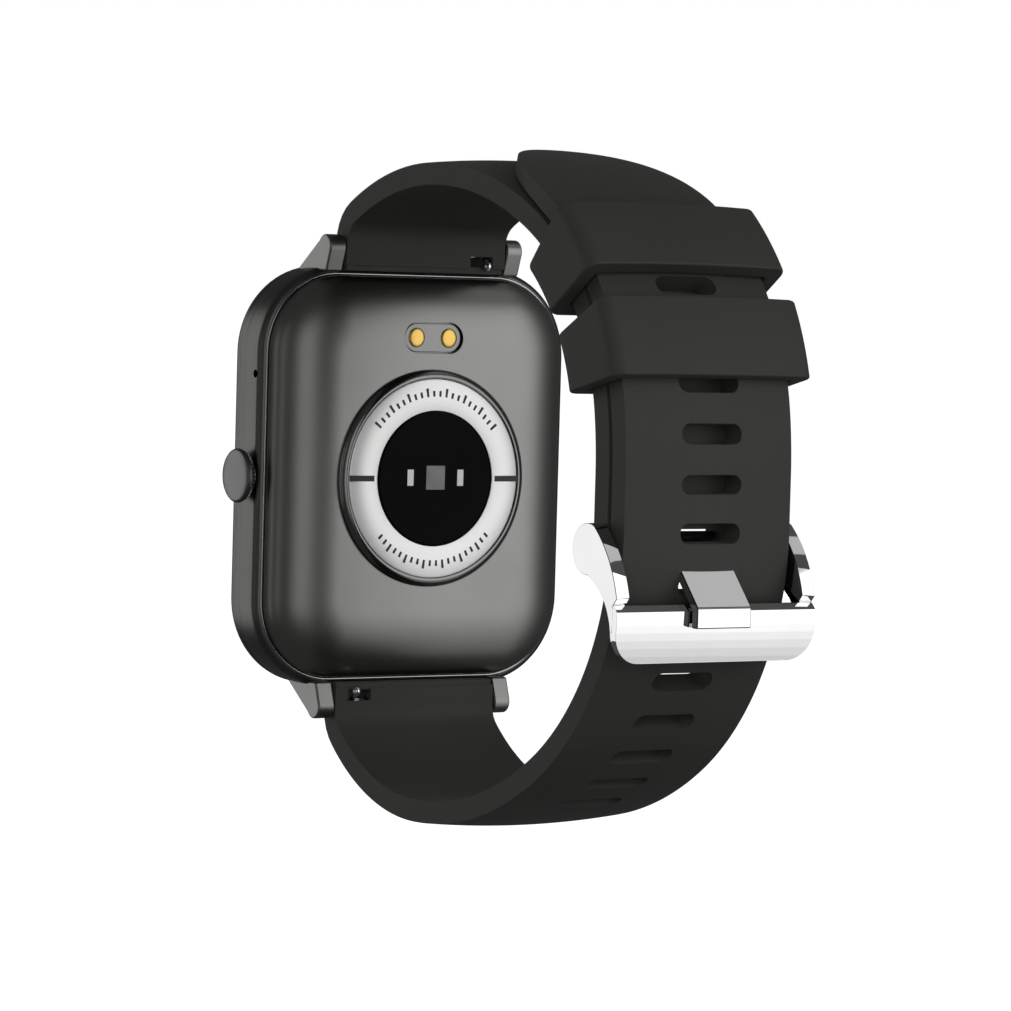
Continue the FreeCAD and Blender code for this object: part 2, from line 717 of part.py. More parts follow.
# ---------------------------------------------------------------- crown
def make_crown(board_back):
    """Crown with its stem, seal and clip, and the switch that it presses."""
    y = at_depth("crown_depth")
    base_x = half("case_width") + "crown_gap"
    knurl_x = base_x + "base_length"
    cap_x = knurl_x + "knurl_length"
    stem_in = half("case_width") - 4.3
    seal_x = half("case_width") - 1.3
    clip_x = half("case_width") - "frame_wall" - 0.7
    groove = size("stem_radius") - 0.2
    stem = rod("stem_rod", "x", (stem_in, y, 0), "stem_radius", base_x - stem_in + 0.1)
    seal_cut = cut("seal_groove", rod("seal_outer", "x", (seal_x, y, 0), 1.2, 0.5),
                   rod("seal_inner", "x", (seal_x - 1, y, 0), groove, 3))
    clip_cut = cut("clip_groove", rod("clip_outer", "x", (clip_x, y, 0), 1.2, 0.3),
                   rod("clip_inner", "x", (clip_x - 1, y, 0), groove, 3))
    grooved = cut("stem", stem, seal_cut, clip_cut)
    base = rod("crown_base", "x", (base_x, y, 0), "base_radius", "base_length")
    knurl = rod("crown_knurl", "x", (knurl_x, y, 0), "knurl_radius", "knurl_length")
    cap = rod("crown_disc", "x", (cap_x, y, 0), "cap_radius", "cap_thickness")
    doc.recompute()
    rounding = doc.addObject("Part::Fillet", "crown_cap")
    rounding.Base = cap
    far = max(range(len(cap.Shape.Edges)), key=lambda i: cap.Shape.Edges[i].CenterOfMass.x)
    rounding.Edges = [(far + 1, 0.3, 0.3)]
    keep(fuse("crown", grooved, base, knurl, rounding), "crown")
    seal = cut("seal", rod("seal_body", "x", (seal_x, y, 0), size("stem_radius") + "stem_fit"
                           - 0.02, 0.5), rod("seal_bore", "x", (seal_x - 1, y, 0), groove, 3))
    keep(seal, "crown_seal")
    clip = cut("clip", rod("clip_body", "x", (clip_x, y, 0), 1.35, 0.3),
               rod("clip_bore", "x", (clip_x - 1, y, 0), groove, 3))
    keep(clip, "crown_clip")

    plunger_x = stem_in - "fit"
    plunger_length = size(0.9)
    shell_x = plunger_x - 0.45
    shell = box("switch_shell", (shell_x - 1.3, shell_x), (at_depth(board_back), y + 1.1),
                (-1.5, 1.5))
    bore = rod("switch_bore", "x", (shell_x - 0.85, y, 0), size("plunger_radius") + "fit", 2)
    keep(cut("crown_switch", shell, bore), "crown_switch")
    keep(rod("switch_plunger", "x", (plunger_x - plunger_length, y, 0), "plunger_radius",
             plunger_length), "switch_plunger")


# ---------------------------------------------------------------- band path
class Path:
    """The inner face of a strap seen from the side: lines and tangent arcs in the YZ plane.

    way is +1 where the wrist lies to the left of the direction of travel and -1 where it
    lies to the right. Every arc turns towards the wrist.
    """

    def __init__(self, start, heading, way):
        self.start = start
        self.heading = heading
        self.way = way
        self.legs = []

    def line(self, length):
        self.legs.append(("line", length, 0.0))

    def arc(self, radius, turn):
        self.legs.append(("arc", radius, turn))

    def walk(self):
        """Yield (point, heading, kind, amount, turn) for every leg, then the end."""
        y, z = self.start
        heading = self.heading
        for kind, amount, turn in self.legs:
            yield (y, z), heading, kind, amount, turn
            a = math.radians(heading)
            if kind == "line":
                y += amount * math.cos(a)
                z += amount * math.sin(a)
            else:
                b = math.radians(heading + self.way * turn)
                y += amount * self.way * (math.sin(b) - math.sin(a))
                z -= amount * self.way * (math.cos(b) - math.cos(a))
                heading += self.way * turn
        yield (y, z), heading, "end", 0.0, 0.0

    def end(self):
        return list(self.walk())[-1][:2]

    def outward(self, point, heading, lift):
        """The point lifted off the inner face, away from the wrist."""
        a = math.radians(heading - 90 * self.way)
        return Vector(0, point[0] + lift * math.cos(a), point[1] + lift * math.sin(a))

    def edges(self, lift):
        """The path as edges, lifted outwards by a distance."""
        made = []
        for point, heading, kind, amount, turn in self.walk():
            if kind == "line":
                a = math.radians(heading)
                far = (point[0] + amount * math.cos(a), point[1] + amount * math.sin(a))
                ends = (self.outward(point, heading, lift), self.outward(far, heading, lift))
                made.append(Part.LineSegment(*ends).toShape())
            elif kind == "arc":
                a = math.radians(heading + 90 * self.way)
                centre = Vector(0, point[0] + amount * math.cos(a), point[1] + amount * math.sin(a))
                spots = []
                for share in (0, 0.5, 1):
                    b = math.radians(heading - 90 * self.way + self.way * turn * share)
                    reach = amount + lift
                    spots.append(centre + Vector(0, reach * math.cos(b), reach * math.sin(b)))
                made.append(Part.Arc(*spots).toShape())
        return made

    def at(self, distance):
        """Point and heading at a distance along the inner face."""
        for point, heading, kind, amount, turn in self.walk():
            length = amount if kind == "line" else amount * math.radians(turn)
            if kind == "end" or distance <= length + 1e-9:
                a = math.radians(heading)
                if kind != "arc":
                    return (point[0] + distance * math.cos(a), point[1] + distance * math.sin(a)), heading
                swept = self.way * math.degrees(distance / amount)
                b = math.radians(heading + swept)
                return ((point[0] + amount * self.way * (math.sin(b) - math.sin(a)),
                         point[1] - amount * self.way * (math.cos(b) - math.cos(a))),
                        heading + swept)
            distance -= length

    def strip(self, thickness, width):
        """The closed solid between the inner face and the outer face."""
        inner, outer = self.edges(0), self.edges(thickness)
        first = Part.LineSegment(inner[0].Vertexes[0].Point, outer[0].Vertexes[0].Point).toShape()
        last = Part.LineSegment(inner[-1].Vertexes[-1].Point, outer[-1].Vertexes[-1].Point).toShape()
        wire = Part.Wire(Part.__sortEdges__(inner + outer + [first, last]))
        block = Part.Face(wire).extrude(Vector(width, 0, 0))
        block.translate(Vector(-width / 2, 0, 0))
        return block


def rod_shape(y, z, radius, reach):
    """A plain cylinder along X through (y, z), as far to each side as reach."""
    return Part.makeCylinder(radius, 2 * reach, Vector(-reach, y, z), Vector(1, 0, 0))


def box_shape(x, y, z):
    """A plain box from three (low, high) pairs."""
    return Part.makeBox(x[1] - x[0], y[1] - y[0], z[1] - z[0], Vector(x[0], y[0], z[0]))


def band_paths():
    """The inner faces of both straps, closed on the lugs and on the buckle."""
    lug_y = mm(at_depth("end_outer"))
    start_z = mm("case_height") / 2 + mm("strap_gap")
    straight = mm("bar_reach") + mm("bar_cover") - mm("strap_gap")

    def begin(sign, thickness, turn):
        path = Path((lug_y + thickness, start_z * sign), 90 * sign, -sign)
        path.line(straight)
        path.arc(mm("shoulder_radius"), turn)
        return path

    def close(path, side, tail, back_y):
        """Add the side arc whose radius brings the rest of the path to the back."""
        run = sum(radius * abs(math.sin(math.radians(b)) - math.sin(math.radians(a)))
                  for radius, a, b in tail)
        here = path.end()[0][0]
        radius = (back_y - here - run) / math.sin(math.radians(side))
        path.arc(radius, side)
        for radius, a, b in tail:
            path.arc(radius, abs(b - a))

    roof, keeper, blend = (mm("roof_turn"), mm("keeper_turn"),
                           90 - mm("roof_turn") - mm("keeper_turn"))
    shoulder = mm("shoulder_turn")
    short = begin(1, mm("short_thickness"), shoulder)
    close(short, 90 - shoulder, [(mm("roof_radius"), 0, roof), (mm("keeper_radius"), roof, roof + keeper),
                  (mm("blend_radius"), roof + keeper, 90)], mm("wrist_depth"))
    _, turn_z = short.end()[0]

    lift = mm("short_thickness") + mm("layer_gap")
    shoulder = mm("low_shoulder_turn")
    long = begin(-1, mm("long_thickness"), shoulder)
    close(long, 90 - shoulder, [(mm("belly_radius"), 0, mm("belly_turn")),
                                (mm("heel_radius"), mm("belly_turn"), 90)],
          mm("wrist_depth") + lift)
    _, low_z = long.end()[0]
    heel = mm("heel_radius") - lift + mm("short_thickness") / 2
    pin_angle = math.asin(mm("pin_drop") / heel)
    short.line(turn_z - low_z)
    short.arc(mm("heel_radius") - lift, math.degrees(pin_angle))
    middle = mm("wrist_depth") + mm("short_thickness") / 2
    pin = (middle - heel * (1 - math.cos(pin_angle)), low_z - mm("pin_drop"))
    long.line(turn_z - low_z)
    long.arc(mm("blend_radius") + lift, blend)
    long.arc(mm("keeper_radius") + lift, keeper)
    long.arc(mm("roof_radius") + lift, mm("tip_turn"))
    return short, long, pin


def arc_centre(short):
    """Centre of the arc that the keepers slide on."""
    for point, heading, kind, amount, turn in short.walk():
        if kind == "arc" and abs(amount - mm("keeper_radius")) < 1e-6:
            a = math.radians(heading + 90 * short.way)
            return point[0] + amount * math.cos(a), point[1] + amount * math.sin(a)


def release_pocket(sign_x, sign_z):
    """The corner cut out of a strap end for the quick-release knob and its travel."""
    bar_y = mm(at_depth("bar_depth"))
    bar_z = mm("case_height") / 2 + mm("bar_reach")
    room = mm("knob_radius") + 0.3
    x = sorted((sign_x * (mm("knob_x") + room),
                sign_x * (mm("knob_x") - mm("release_travel") - room)))
    outline = [(bar_y + 2.6, bar_z - 2.4), (bar_y + 2.6, bar_z - 0.95), (bar_y + 1.3, bar_z - 0.8),
               (bar_y + 0.3, bar_z + 0.2), (bar_y - 0.3, bar_z + 0.2), (bar_y - 0.3, bar_z - 2.4)]
    corners = [Vector(x[0], y, sign_z * z) for y, z in outline + outline[:1]]
    return Part.Face(Part.makePolygon(corners)).extrude(Vector(x[1] - x[0], 0, 0))


def slot_shape(path, distance, thickness):
    """A slot with round ends, square through the strap at a distance along its path."""
    point, heading = path.at(distance)
    length, width = mm("slot_length"), mm("slot_width")
    deep = thickness + 4
    block = Part.makeBox(length - width, width, deep, Vector(-(length - width) / 2, -width / 2, -2))
    for side in (-1, 1):
        end = Part.makeCylinder(width / 2, deep, Vector(side * (length - width) / 2, 0, -2))
        block = block.fuse(end)
    normal = path.outward(point, heading, 1) - path.outward(point, heading, 0)
    turn = Rotation(Vector(1, 0, 0), math.degrees(math.atan2(-normal.y, normal.z)))
    block.Placement = Placement(Vector(0, point[0], point[1]), turn)
    return block


SLOTS_BELOW, SLOTS_ABOVE = 6, 6


def make_band():
    """Both straps, the spring bars that hold them and the keepers round them."""
    short_path, long_path, (pin_y, pin_z) = band_paths()
    width = mm("strap_width") - 2 * mm("lug_side")
    bar_y = mm(at_depth("bar_depth"))
    bar_z = mm("case_height") / 2 + mm("bar_reach")

    short = short_path.strip(mm("short_thickness"), width)
    short = short.fuse(rod_shape(pin_y, pin_z, mm("short_thickness") / 2, width / 2))
    notch = mm("tang_loop") + mm("loose_fit")
    half_notch = mm("tang_width") / 2 + mm("loose_fit")
    short = short.cut([
        rod_shape(bar_y, bar_z, mm("bar_radius") + mm("fit"), width),
        rod_shape(pin_y, pin_z, mm("pin_rod") + mm("pin_fit"), width),
        box_shape((-half_notch, half_notch), (pin_y - 4, pin_y + 4), (pin_z - 4, pin_z + notch)),
        release_pocket(-1, 1)])
    keep(solid("short_strap", short.removeSplitter()), "short_strap")

    long = long_path.strip(mm("long_thickness"), width)
    tang_at = long_length_at(long_path, tang_slot_z(pin_y, pin_z))
    slots = [slot_shape(long_path, tang_at + step * mm("slot_pitch"), mm("long_thickness"))
             for step in range(-SLOTS_BELOW, SLOTS_ABOVE + 1)]
    (tip_y, tip_z), _ = long_path.end()
    tip_base = tip_y + mm("tip_length")
    blank = box_shape((-width, width), (tip_y - 5, tip_base), (tip_z - 12, tip_z + 12))
    oval = Part.Ellipse(Vector(0, tip_base - mm("tip_length"), tip_z - 12),
                        Vector(width / 2, tip_base, tip_z - 12), Vector(0, tip_base, tip_z - 12))
    core = Part.Face(Part.Wire(oval.toShape())).extrude(Vector(0, 0, 24))
    long = long.cut([rod_shape(-abs(bar_y), -bar_z, mm("bar_radius") + mm("fit"), width),
                     release_pocket(1, -1), blank.cut(core), tang_channel(pin_y, pin_z)] + slots)
    keep(solid("long_strap", long.removeSplitter()), "long_strap")

    centre = arc_centre(short_path)
    for name, angle in (("lower", "lower_keeper_at"), ("upper", "upper_keeper_at")):
        keep(solid(f"{name}_keeper", keeper_shape(centre, mm(angle))), f"{name}_keeper")
    for name, sign_x, sign_z in (("top", -1, 1), ("bottom", 1, -1)):
        make_spring_bar(name, sign_x, sign_z)
    make_buckle(pin_y, pin_z)


def tang_lines(pin_y, pin_z):
    """Where the tang's outer face leaves its loop, its direction and its outward normal."""
    slope = math.radians(-mm("tang_slope"))
    along = Vector(0, math.cos(slope), math.sin(slope))
    up = Vector(0, -along.z, along.y)
    return Vector(0, pin_y, pin_z) + up * mm("tang_loop"), along, up


def tang_channel(pin_y, pin_z):
    """The way that the tang has pressed through the outer layer, with room for its play."""
    root, along, up = tang_lines(pin_y, pin_z)
    above = root + up * mm("tang_play")
    below = root - up * (mm("tang_thickness") + mm("tang_fit"))
    run = along * (mm("long_thickness") * 4)
    face = Part.Face(Part.makePolygon([above - along, above + run, below + run, below - along,
                                       above - along]))
    half_width = mm("tang_width") / 2 + mm("loose_fit")
    channel = face.extrude(Vector(2 * half_width, 0, 0))
    channel.translate(Vector(-half_width, 0, 0))
    return channel.fuse(rod_shape(pin_y, pin_z, mm("tang_loop") + mm("tang_fit"), half_width))


def tang_slot_z(pin_y, pin_z):
    """Height at which the tang's centre line leaves the outer layer."""
    slope = math.tan(math.radians(mm("tang_slope")))
    face = mm("wrist_depth") + mm("short_thickness") + mm("layer_gap") + mm("long_thickness")
    centre = mm("tang_loop") - mm("tang_thickness") / 2
    lift = centre / math.cos(math.radians(mm("tang_slope")))
    return pin_z + lift - (face - pin_y) * slope


def long_length_at(path, z):
    """Distance along the long strap's inner face at which it rises through a height."""
    whole = sum(amount if kind == "line" else amount * math.radians(turn)
                for _, _, kind, amount, turn in path.walk() if kind != "end")
    low, high = whole * 0.3, whole * 0.8
    for _ in range(60):
        middle = (low + high) / 2
        if path.at(middle)[0][1] < z:
            low = middle
        else:
            high = middle
    return low


def keeper_shape(centre, angle):
    """A loop round both layers, swept along the arc that it slides on."""
    inner = mm("keeper_radius") - mm("keeper_fit")
    outer = (mm("keeper_radius") + mm("short_thickness") + mm("layer_gap")
             + mm("long_thickness") + mm("keeper_fit"))
    side = mm("strap_width") / 2 - mm("lug_side") + mm("keeper_fit")
    wall = mm("keeper_wall")
    middle = (inner + outer) / 2
    spread = math.degrees(mm("keeper_length") / middle)

    def loop(reach, low, high, corner):
        ring = Part.makeBox(2 * reach, high - low, 1, Vector(-reach, low, 0))
        upright = [edge for edge in ring.Edges if edge.BoundBox.ZLength > 0.5]
        ring = ring.makeFillet(corner, upright)
        return min(ring.Faces, key=lambda face: face.CenterOfMass.z).OuterWire

    outside = Part.Face(loop(side + wall, inner - wall, outer + wall, 1.0))
    inside = Part.Face(loop(side, inner, outer, 0.2))
    block = outside.revolve(Vector(), Vector(1, 0, 0), spread)
    block = block.cut(inside.revolve(Vector(), Vector(1, 0, 0), spread))
    block.rotate(Vector(), Vector(1, 0, 0), angle - spread / 2)
    block.translate(Vector(0, centre[0], centre[1]))
    return block


def make_spring_bar(name, sign_x, sign_z):
    """A quick-release bar: tube with one fixed tip, and a sliding pin with its knob."""
    y = at_depth("bar_depth")
    z = (half("case_height") + "bar_reach") * sign_z
    tube_half = half("strap_width") - 1.0
    reach = half("strap_width") + "tip_engage"

    def along(label, low, high, radius):
        """A rod between two distances from the middle, on the released side's sense."""
        low, high = size(low), size(high)
        start = low if sign_x > 0 else -high
        return rod(f"{label}_{name}", "x", (start, y, z), radius, high - low)

    body = along("tube_body", -tube_half, tube_half, "bar_radius")
    fixed = along("fixed_tip", -reach, 0.2 - tube_half, "tip_radius")
    bore = along("tube_bore", 1.0 - tube_half, tube_half + 1, "bar_bore")
    lever_low = size("knob_x") - "release_travel" - 0.4
    window = box(f"lever_window_{name}", *[(0, 1)] * 3)
    window.setExpression("Length", (size("knob_x") + 0.4 - lever_low).text)
    window.setExpression("Width", "0.66")
    window.setExpression("Height", "2")
    lean = Rotation(Vector(1, 0, 0), -140 if sign_z > 0 else -40)
    start_x = lever_low if sign_x > 0 else -(size("knob_x") + 0.4)
    side = lean.multVec(Vector(0, -0.33, 0))
    place(window, start_x, y + side.y, z + side.z, lean)
    keep(cut(f"bar_tube_{name}", fuse(f"tube_{name}", body, fixed), bore, window),
         f"spring_bar_{name}")

    pin_low = size("knob_x") - 4.0
    pin = along("release_rod", pin_low, reach, "tip_radius")
    lever = doc.addObject("Part::Cylinder", f"lever_{name}")
    lever.setExpression("Radius", "0.27")
    lever.setExpression("Height", size("knob_reach").text)
    place(lever, size("knob_x") * sign_x, y, z, lean)
    knob = doc.addObject("Part::Sphere", f"knob_{name}")
    knob.setExpression("Radius", size("knob_radius").text)
    out = lean.multVec(Vector(0, 0, 1))
    place(knob, size("knob_x") * sign_x, y + size("knob_reach") * out.y,
          z + size("knob_reach") * out.z)
    keep(fuse(f"release_pin_{name}", pin, lever, knob), f"release_pin_{name}")
    coil = along("coil_body", -2.0, pin_low - "release_travel" - 0.3, size("bar_bore") - "fit")
    core = along("coil_core", -3.0, pin_low, 0.2)
    keep(cut(f"bar_spring_{name}", coil, core), f"bar_spring_{name}")


# ---------------------------------------------------------------- buckle
def make_buckle(pin_y, pin_z):
    """Buckle frame, its pin through the short strap's end, and the tang on the pin."""
    outside = (mm("wrist_depth") + mm("short_thickness") + mm("layer_gap")
               + mm("long_thickness") + mm("plate_stand"))
    thick = mm("plate_thickness")
    inside = outside - thick
    top = pin_z - mm("plate_drop")
    foot = top - mm("plate_height")
    gap = mm("strap_width") / 2 - mm("lug_side") + mm("arm_gap")
    reach = gap + mm("arm_width")
    paddle = mm("paddle_radius")
    middle = (outside - mm("paddle_back"), pin_z + 0.1)

    def on_paddle(degrees):
        a = math.radians(degrees)
        return Vector(0, middle[0] + paddle * math.cos(a), middle[1] + paddle * math.sin(a))

    def point(y, z):
        return Vector(0, y, z)

    brow = point((on_paddle(66).y + outside) / 2 + 0.55, (on_paddle(66).z + top) / 2 + 0.55)
    throat_end = point(inside, top - 2.6)
    throat = point(inside - 1.5, top + 0.75)
    outline = [
        Part.Arc(on_paddle(66), on_paddle(180), on_paddle(-85)).toShape(),
        Part.Arc(on_paddle(-85), throat, throat_end).toShape(),
        Part.LineSegment(throat_end, point(inside, foot)).toShape(),
        Part.LineSegment(point(inside, foot), point(outside, foot)).toShape(),
        Part.LineSegment(point(outside, foot), point(outside, top)).toShape(),
        Part.Arc(point(outside, top), brow, on_paddle(66)).toShape()]
    side = Part.Face(Part.Wire(outline)).extrude(Vector(2 * reach, 0, 0))
    side.translate(Vector(-reach, 0, 0))
    side = side.cut([box_shape((-gap, gap), (pin_y - 9, inside), (foot - 1, pin_z + 9)),
                     box_shape((-gap, gap), (pin_y - 9, outside + 3), (top, pin_z + 9))])
    corner = mm("plate_corner")
    front = box_shape((-reach, reach), (pin_y - 9, outside + 3), (foot, pin_z + 9))
    low = [edge for edge in front.Edges
           if edge.BoundBox.YLength > 5 and edge.CenterOfMass.z < foot + 0.1]
    frame = side.common(front.makeFillet(corner, low))
    slope = mm("plate_chamfer")
    wedge = Part.Face(Part.makePolygon([
        point(outside - slope, top), point(outside + 0.1, top - slope - 0.1),
        point(outside + 0.1, top + 0.1), point(outside - slope, top)]))
    wedge = wedge.extrude(Vector(2 * gap, 0, 0))
    wedge.translate(Vector(-gap, 0, 0))
    frame = frame.cut([wedge, rod_shape(pin_y, pin_z, mm("pin_rod") + mm("fit"), reach - 0.4)])
    keep(solid("buckle_frame", frame.removeSplitter()), "buckle_frame")
    pin_half = half("strap_width") - "lug_side" + "arm_gap" + "arm_width" - 0.5
    keep(rod("buckle_pin", "x", (-pin_half, pin_y, pin_z), "pin_rod", pin_half * 2), "buckle_pin")

    loop, strip = mm("tang_loop"), mm("tang_thickness")
    root, along, up = tang_lines(pin_y, pin_z)
    hook_in = outside + mm("hook_gap")
    hook_out = hook_in + strip
    run_out = (hook_out - root.y) / along.y
    bend_out = root + along * run_out
    under = root - up * strip
    bend_in = under + along * ((hook_in - under.y) / along.y)
    foot_z = bend_out.z - mm("tang_hook")
    outline = [root, bend_out, Vector(0, hook_out, foot_z), Vector(0, hook_in, foot_z), bend_in,
               under, root]
    width = mm("tang_width")
    tang = Part.Face(Part.makePolygon(outline)).extrude(Vector(width, 0, 0))
    tang.translate(Vector(-width / 2, 0, 0))
    tang = tang.fuse(rod_shape(pin_y, pin_z, loop, width / 2))
    tang = tang.cut(rod_shape(pin_y, pin_z, mm("pin_rod") + mm("pin_fit"), width))
    keep(solid("buckle_tang", tang.removeSplitter()), "buckle_tang")


# ---------------------------------------------------------------- build, check and write
make_frame()
make_display()
make_cover()
make_sensor()
make_charging()
make_crown(make_inside())
make_band()
doc.recompute()

for item in doc.Objects:
    if "Invalid" in item.State or "Error" in item.State:
        raise ValueError(f"{item.Name} failed: {item.State}")
os.makedirs("parts", exist_ok=True)
for node in nodes:
    shape = node.Shape
    if shape.isNull() or not shape.isValid() or not shape.Solids:
        raise ValueError(f"{node.Label} has no sound solid")
for node in nodes:
    node.Shape.exportStep(f"parts/{node.Label}.step")
    print(f"{node.Label}: {len(node.Shape.Solids)} solid(s), {node.Shape.Volume:.1f} mm3")
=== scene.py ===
# %% [markdown]
# # A smartwatch on its closed silicone band
#
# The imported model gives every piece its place. This lesson keeps the pieces whose shape is
# already right and gives them finishes, and rebuilds the ones whose beauty is in their
# surface: the crowned straps, the domed back, the polished buckle, the knurled crown.
# Shapes are worked out with numpy in millimetres and turned to metres when a mesh is made.

# %% Load the fixed frame
import math

import bmesh
import bpy
import numpy as np
from mathutils import Matrix, Vector


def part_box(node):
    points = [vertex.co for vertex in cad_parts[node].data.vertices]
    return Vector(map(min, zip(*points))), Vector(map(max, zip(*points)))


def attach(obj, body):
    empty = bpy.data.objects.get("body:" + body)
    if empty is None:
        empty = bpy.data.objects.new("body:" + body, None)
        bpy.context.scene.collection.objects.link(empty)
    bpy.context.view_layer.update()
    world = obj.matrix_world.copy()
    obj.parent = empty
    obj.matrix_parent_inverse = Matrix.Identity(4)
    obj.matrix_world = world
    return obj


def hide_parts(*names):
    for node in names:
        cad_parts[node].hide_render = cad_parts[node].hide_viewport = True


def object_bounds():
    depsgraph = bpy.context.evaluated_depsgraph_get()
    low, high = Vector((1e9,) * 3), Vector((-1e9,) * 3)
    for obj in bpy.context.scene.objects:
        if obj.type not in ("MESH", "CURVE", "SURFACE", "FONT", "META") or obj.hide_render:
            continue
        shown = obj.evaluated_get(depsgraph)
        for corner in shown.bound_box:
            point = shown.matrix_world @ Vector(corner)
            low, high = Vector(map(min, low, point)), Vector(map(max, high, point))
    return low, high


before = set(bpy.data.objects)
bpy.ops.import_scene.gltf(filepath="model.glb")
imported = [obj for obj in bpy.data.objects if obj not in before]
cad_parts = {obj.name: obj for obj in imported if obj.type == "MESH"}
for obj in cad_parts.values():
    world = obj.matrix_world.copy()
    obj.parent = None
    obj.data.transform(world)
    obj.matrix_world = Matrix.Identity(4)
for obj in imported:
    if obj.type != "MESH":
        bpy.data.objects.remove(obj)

cad_box = [list(corner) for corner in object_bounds()]
print("CAD box in mm:", [[round(value * 1000, 1) for value in corner] for corner in cad_box])

# %% [markdown]
# ## Helpers for meshes
#
# Almost every piece here is a grid of points: one direction runs along the piece and the other
# round it. A grid turns into quads by pairing each row with the next, so one helper serves
# straps, rings and shells. Doubled points are merged and the normals are recalculated, which
# closes seams and poles.

# %% A grid of points becomes a piece
MM = 0.001


def piece_from(name, points, faces, sharp_above=32):
    """Make an object from points in millimetres and faces, merged, facing outwards."""
    mesh = bpy.data.meshes.new(name)
    mesh.from_pydata((np.asarray(points, float) * MM).tolist(), [], faces)
    work = bmesh.new()
    work.from_mesh(mesh)
    bmesh.ops.remove_doubles(work, verts=work.verts, dist=2e-6)
    bmesh.ops.recalc_face_normals(work, faces=work.faces)
    work.to_mesh(mesh)
    work.free()
    mesh.shade_smooth()
    mesh.set_sharp_from_angle(angle=math.radians(sharp_above))
    piece = bpy.data.objects.new(name, mesh)
    bpy.context.scene.collection.objects.link(piece)
    return piece


def grid_quads(rows, cols, close_rows=False, close_cols=False):
    """Quads that join each row of a grid to the next, and the last to the first if closed."""
    index = np.arange(rows * cols).reshape(rows, cols)
    if close_rows:
        index = np.vstack([index, index[:1]])
    if close_cols:
        index = np.hstack([index, index[:, :1]])
    corners = (index[:-1, :-1], index[1:, :-1], index[1:, 1:], index[:-1, 1:])
    return np.stack(corners, axis=-1).reshape(-1, 4).tolist()


def grid_piece(name, points, close_rows=False, close_cols=False, caps=False, sharp_above=32):
    """A piece from a grid of points[row, column]. Caps fill the first and last row."""
    rows, cols = points.shape[:2]
    faces = grid_quads(rows, cols, close_rows, close_cols)
    if caps:
        faces += [list(range(cols)), list(range((rows - 1) * cols, rows * cols))[::-1]]
    return piece_from(name, points.reshape(-1, 3), faces, sharp_above)


def soften(piece, width, segments=3, angle=40, weighted=False):
    """Round every edge sharper than the angle: real edges always catch a thin line of light."""
    bevel = piece.modifiers.new("edges", "BEVEL")
    bevel.width = width * MM
    bevel.segments = segments
    bevel.limit_method = "WEIGHT" if weighted else "ANGLE"
    bevel.angle_limit = math.radians(angle)
    bevel.harden_normals = True
    return piece


def carve(piece, *cutters):
    """Subtract the cutters from the piece for good, and throw them away."""
    for cutter in cutters:
        hole = piece.modifiers.new("hole", "BOOLEAN")
        hole.operation = "DIFFERENCE"
        hole.solver = "EXACT"
        hole.object = cutter
    bpy.context.view_layer.update()
    depsgraph = bpy.context.evaluated_depsgraph_get()
    mesh = bpy.data.meshes.new_from_object(piece.evaluated_get(depsgraph))
    piece.modifiers.clear()
    piece.data = mesh
    mesh.shade_smooth()
    mesh.set_sharp_from_angle(angle=math.radians(32))
    for cutter in cutters:
        bpy.data.objects.remove(cutter)
    return piece


FLAT_WITHIN = 1.0                  # degrees between triangles that count as one flat face


def from_cad(name, node):
    """A clean copy of a CAD node: its loose triangles merged and its flats made whole."""
    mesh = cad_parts[node].data.copy()
    work = bmesh.new()
    work.from_mesh(mesh)
    bmesh.ops.remove_doubles(work, verts=work.verts, dist=2e-6)
    bmesh.ops.dissolve_limit(work, angle_limit=math.radians(FLAT_WITHIN), verts=work.verts,
                             edges=work.edges)
    work.to_mesh(mesh)
    work.free()
    mesh.materials.clear()
    mesh.shade_smooth()
    mesh.set_sharp_from_angle(angle=math.radians(32))
    piece = bpy.data.objects.new(name, mesh)
    bpy.context.scene.collection.objects.link(piece)
    return piece


def fit_in(piece, body, slot, material, *nodes, edge=None):
    """Dress a finished piece, hang it on its CAD body and hide the CAD nodes it stands for.

    A second finish, if given, goes on the rounded edges that the bevel adds.
    """
    piece.data.materials.clear()
    piece.data.materials.append(material)
    if edge:
        piece.data.materials.append(edge)
        piece.modifiers["edges"].material = 1
    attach(piece, body)
    if nodes:
        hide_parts(*nodes)
    print(f"{piece.name}: {len(piece.data.polygons)} faces on {body}")
    return piece


def outline(half, corner, per_corner=20, per_side=14):
    """A rectangle with round corners as (x, z), anticlockwise seen from the display."""
    turn = np.linspace(0, np.pi / 2, per_corner + 1)
    loops = []
    for quarter in range(4):
        sx, sz = ((1, 1), (-1, 1), (-1, -1), (1, -1))[quarter]
        a = turn + quarter * np.pi / 2
        x = sx * (half[0] - corner) + corner * np.cos(a)
        z = sz * (half[1] - corner) + corner * np.sin(a)
        arc = np.stack([x, z], 1)
        if loops:
            share = np.linspace(0, 1, per_side + 1)[1:-1, None]
            loops.append(loops[-1][-1] * (1 - share) + arc[0] * share)
        loops.append(arc)
    share = np.linspace(0, 1, per_side + 1)[1:-1, None]
    loops.append(loops[-1][-1] * (1 - share) + loops[0][0] * share)
    return np.concatenate(loops)


def block(name, low, high):
    """A plain box used as a cutter, from its low and high corners in millimetres."""
    grid = np.array([[[x, y, z] for z in (low[2], high[2])] for x, y in
                     ((low[0], low[1]), (high[0], low[1]), (high[0], high[1]), (low[0], high[1]))])
    ring = grid.transpose(1, 0, 2)
    return grid_piece(name, ring, close_cols=True, caps=True)
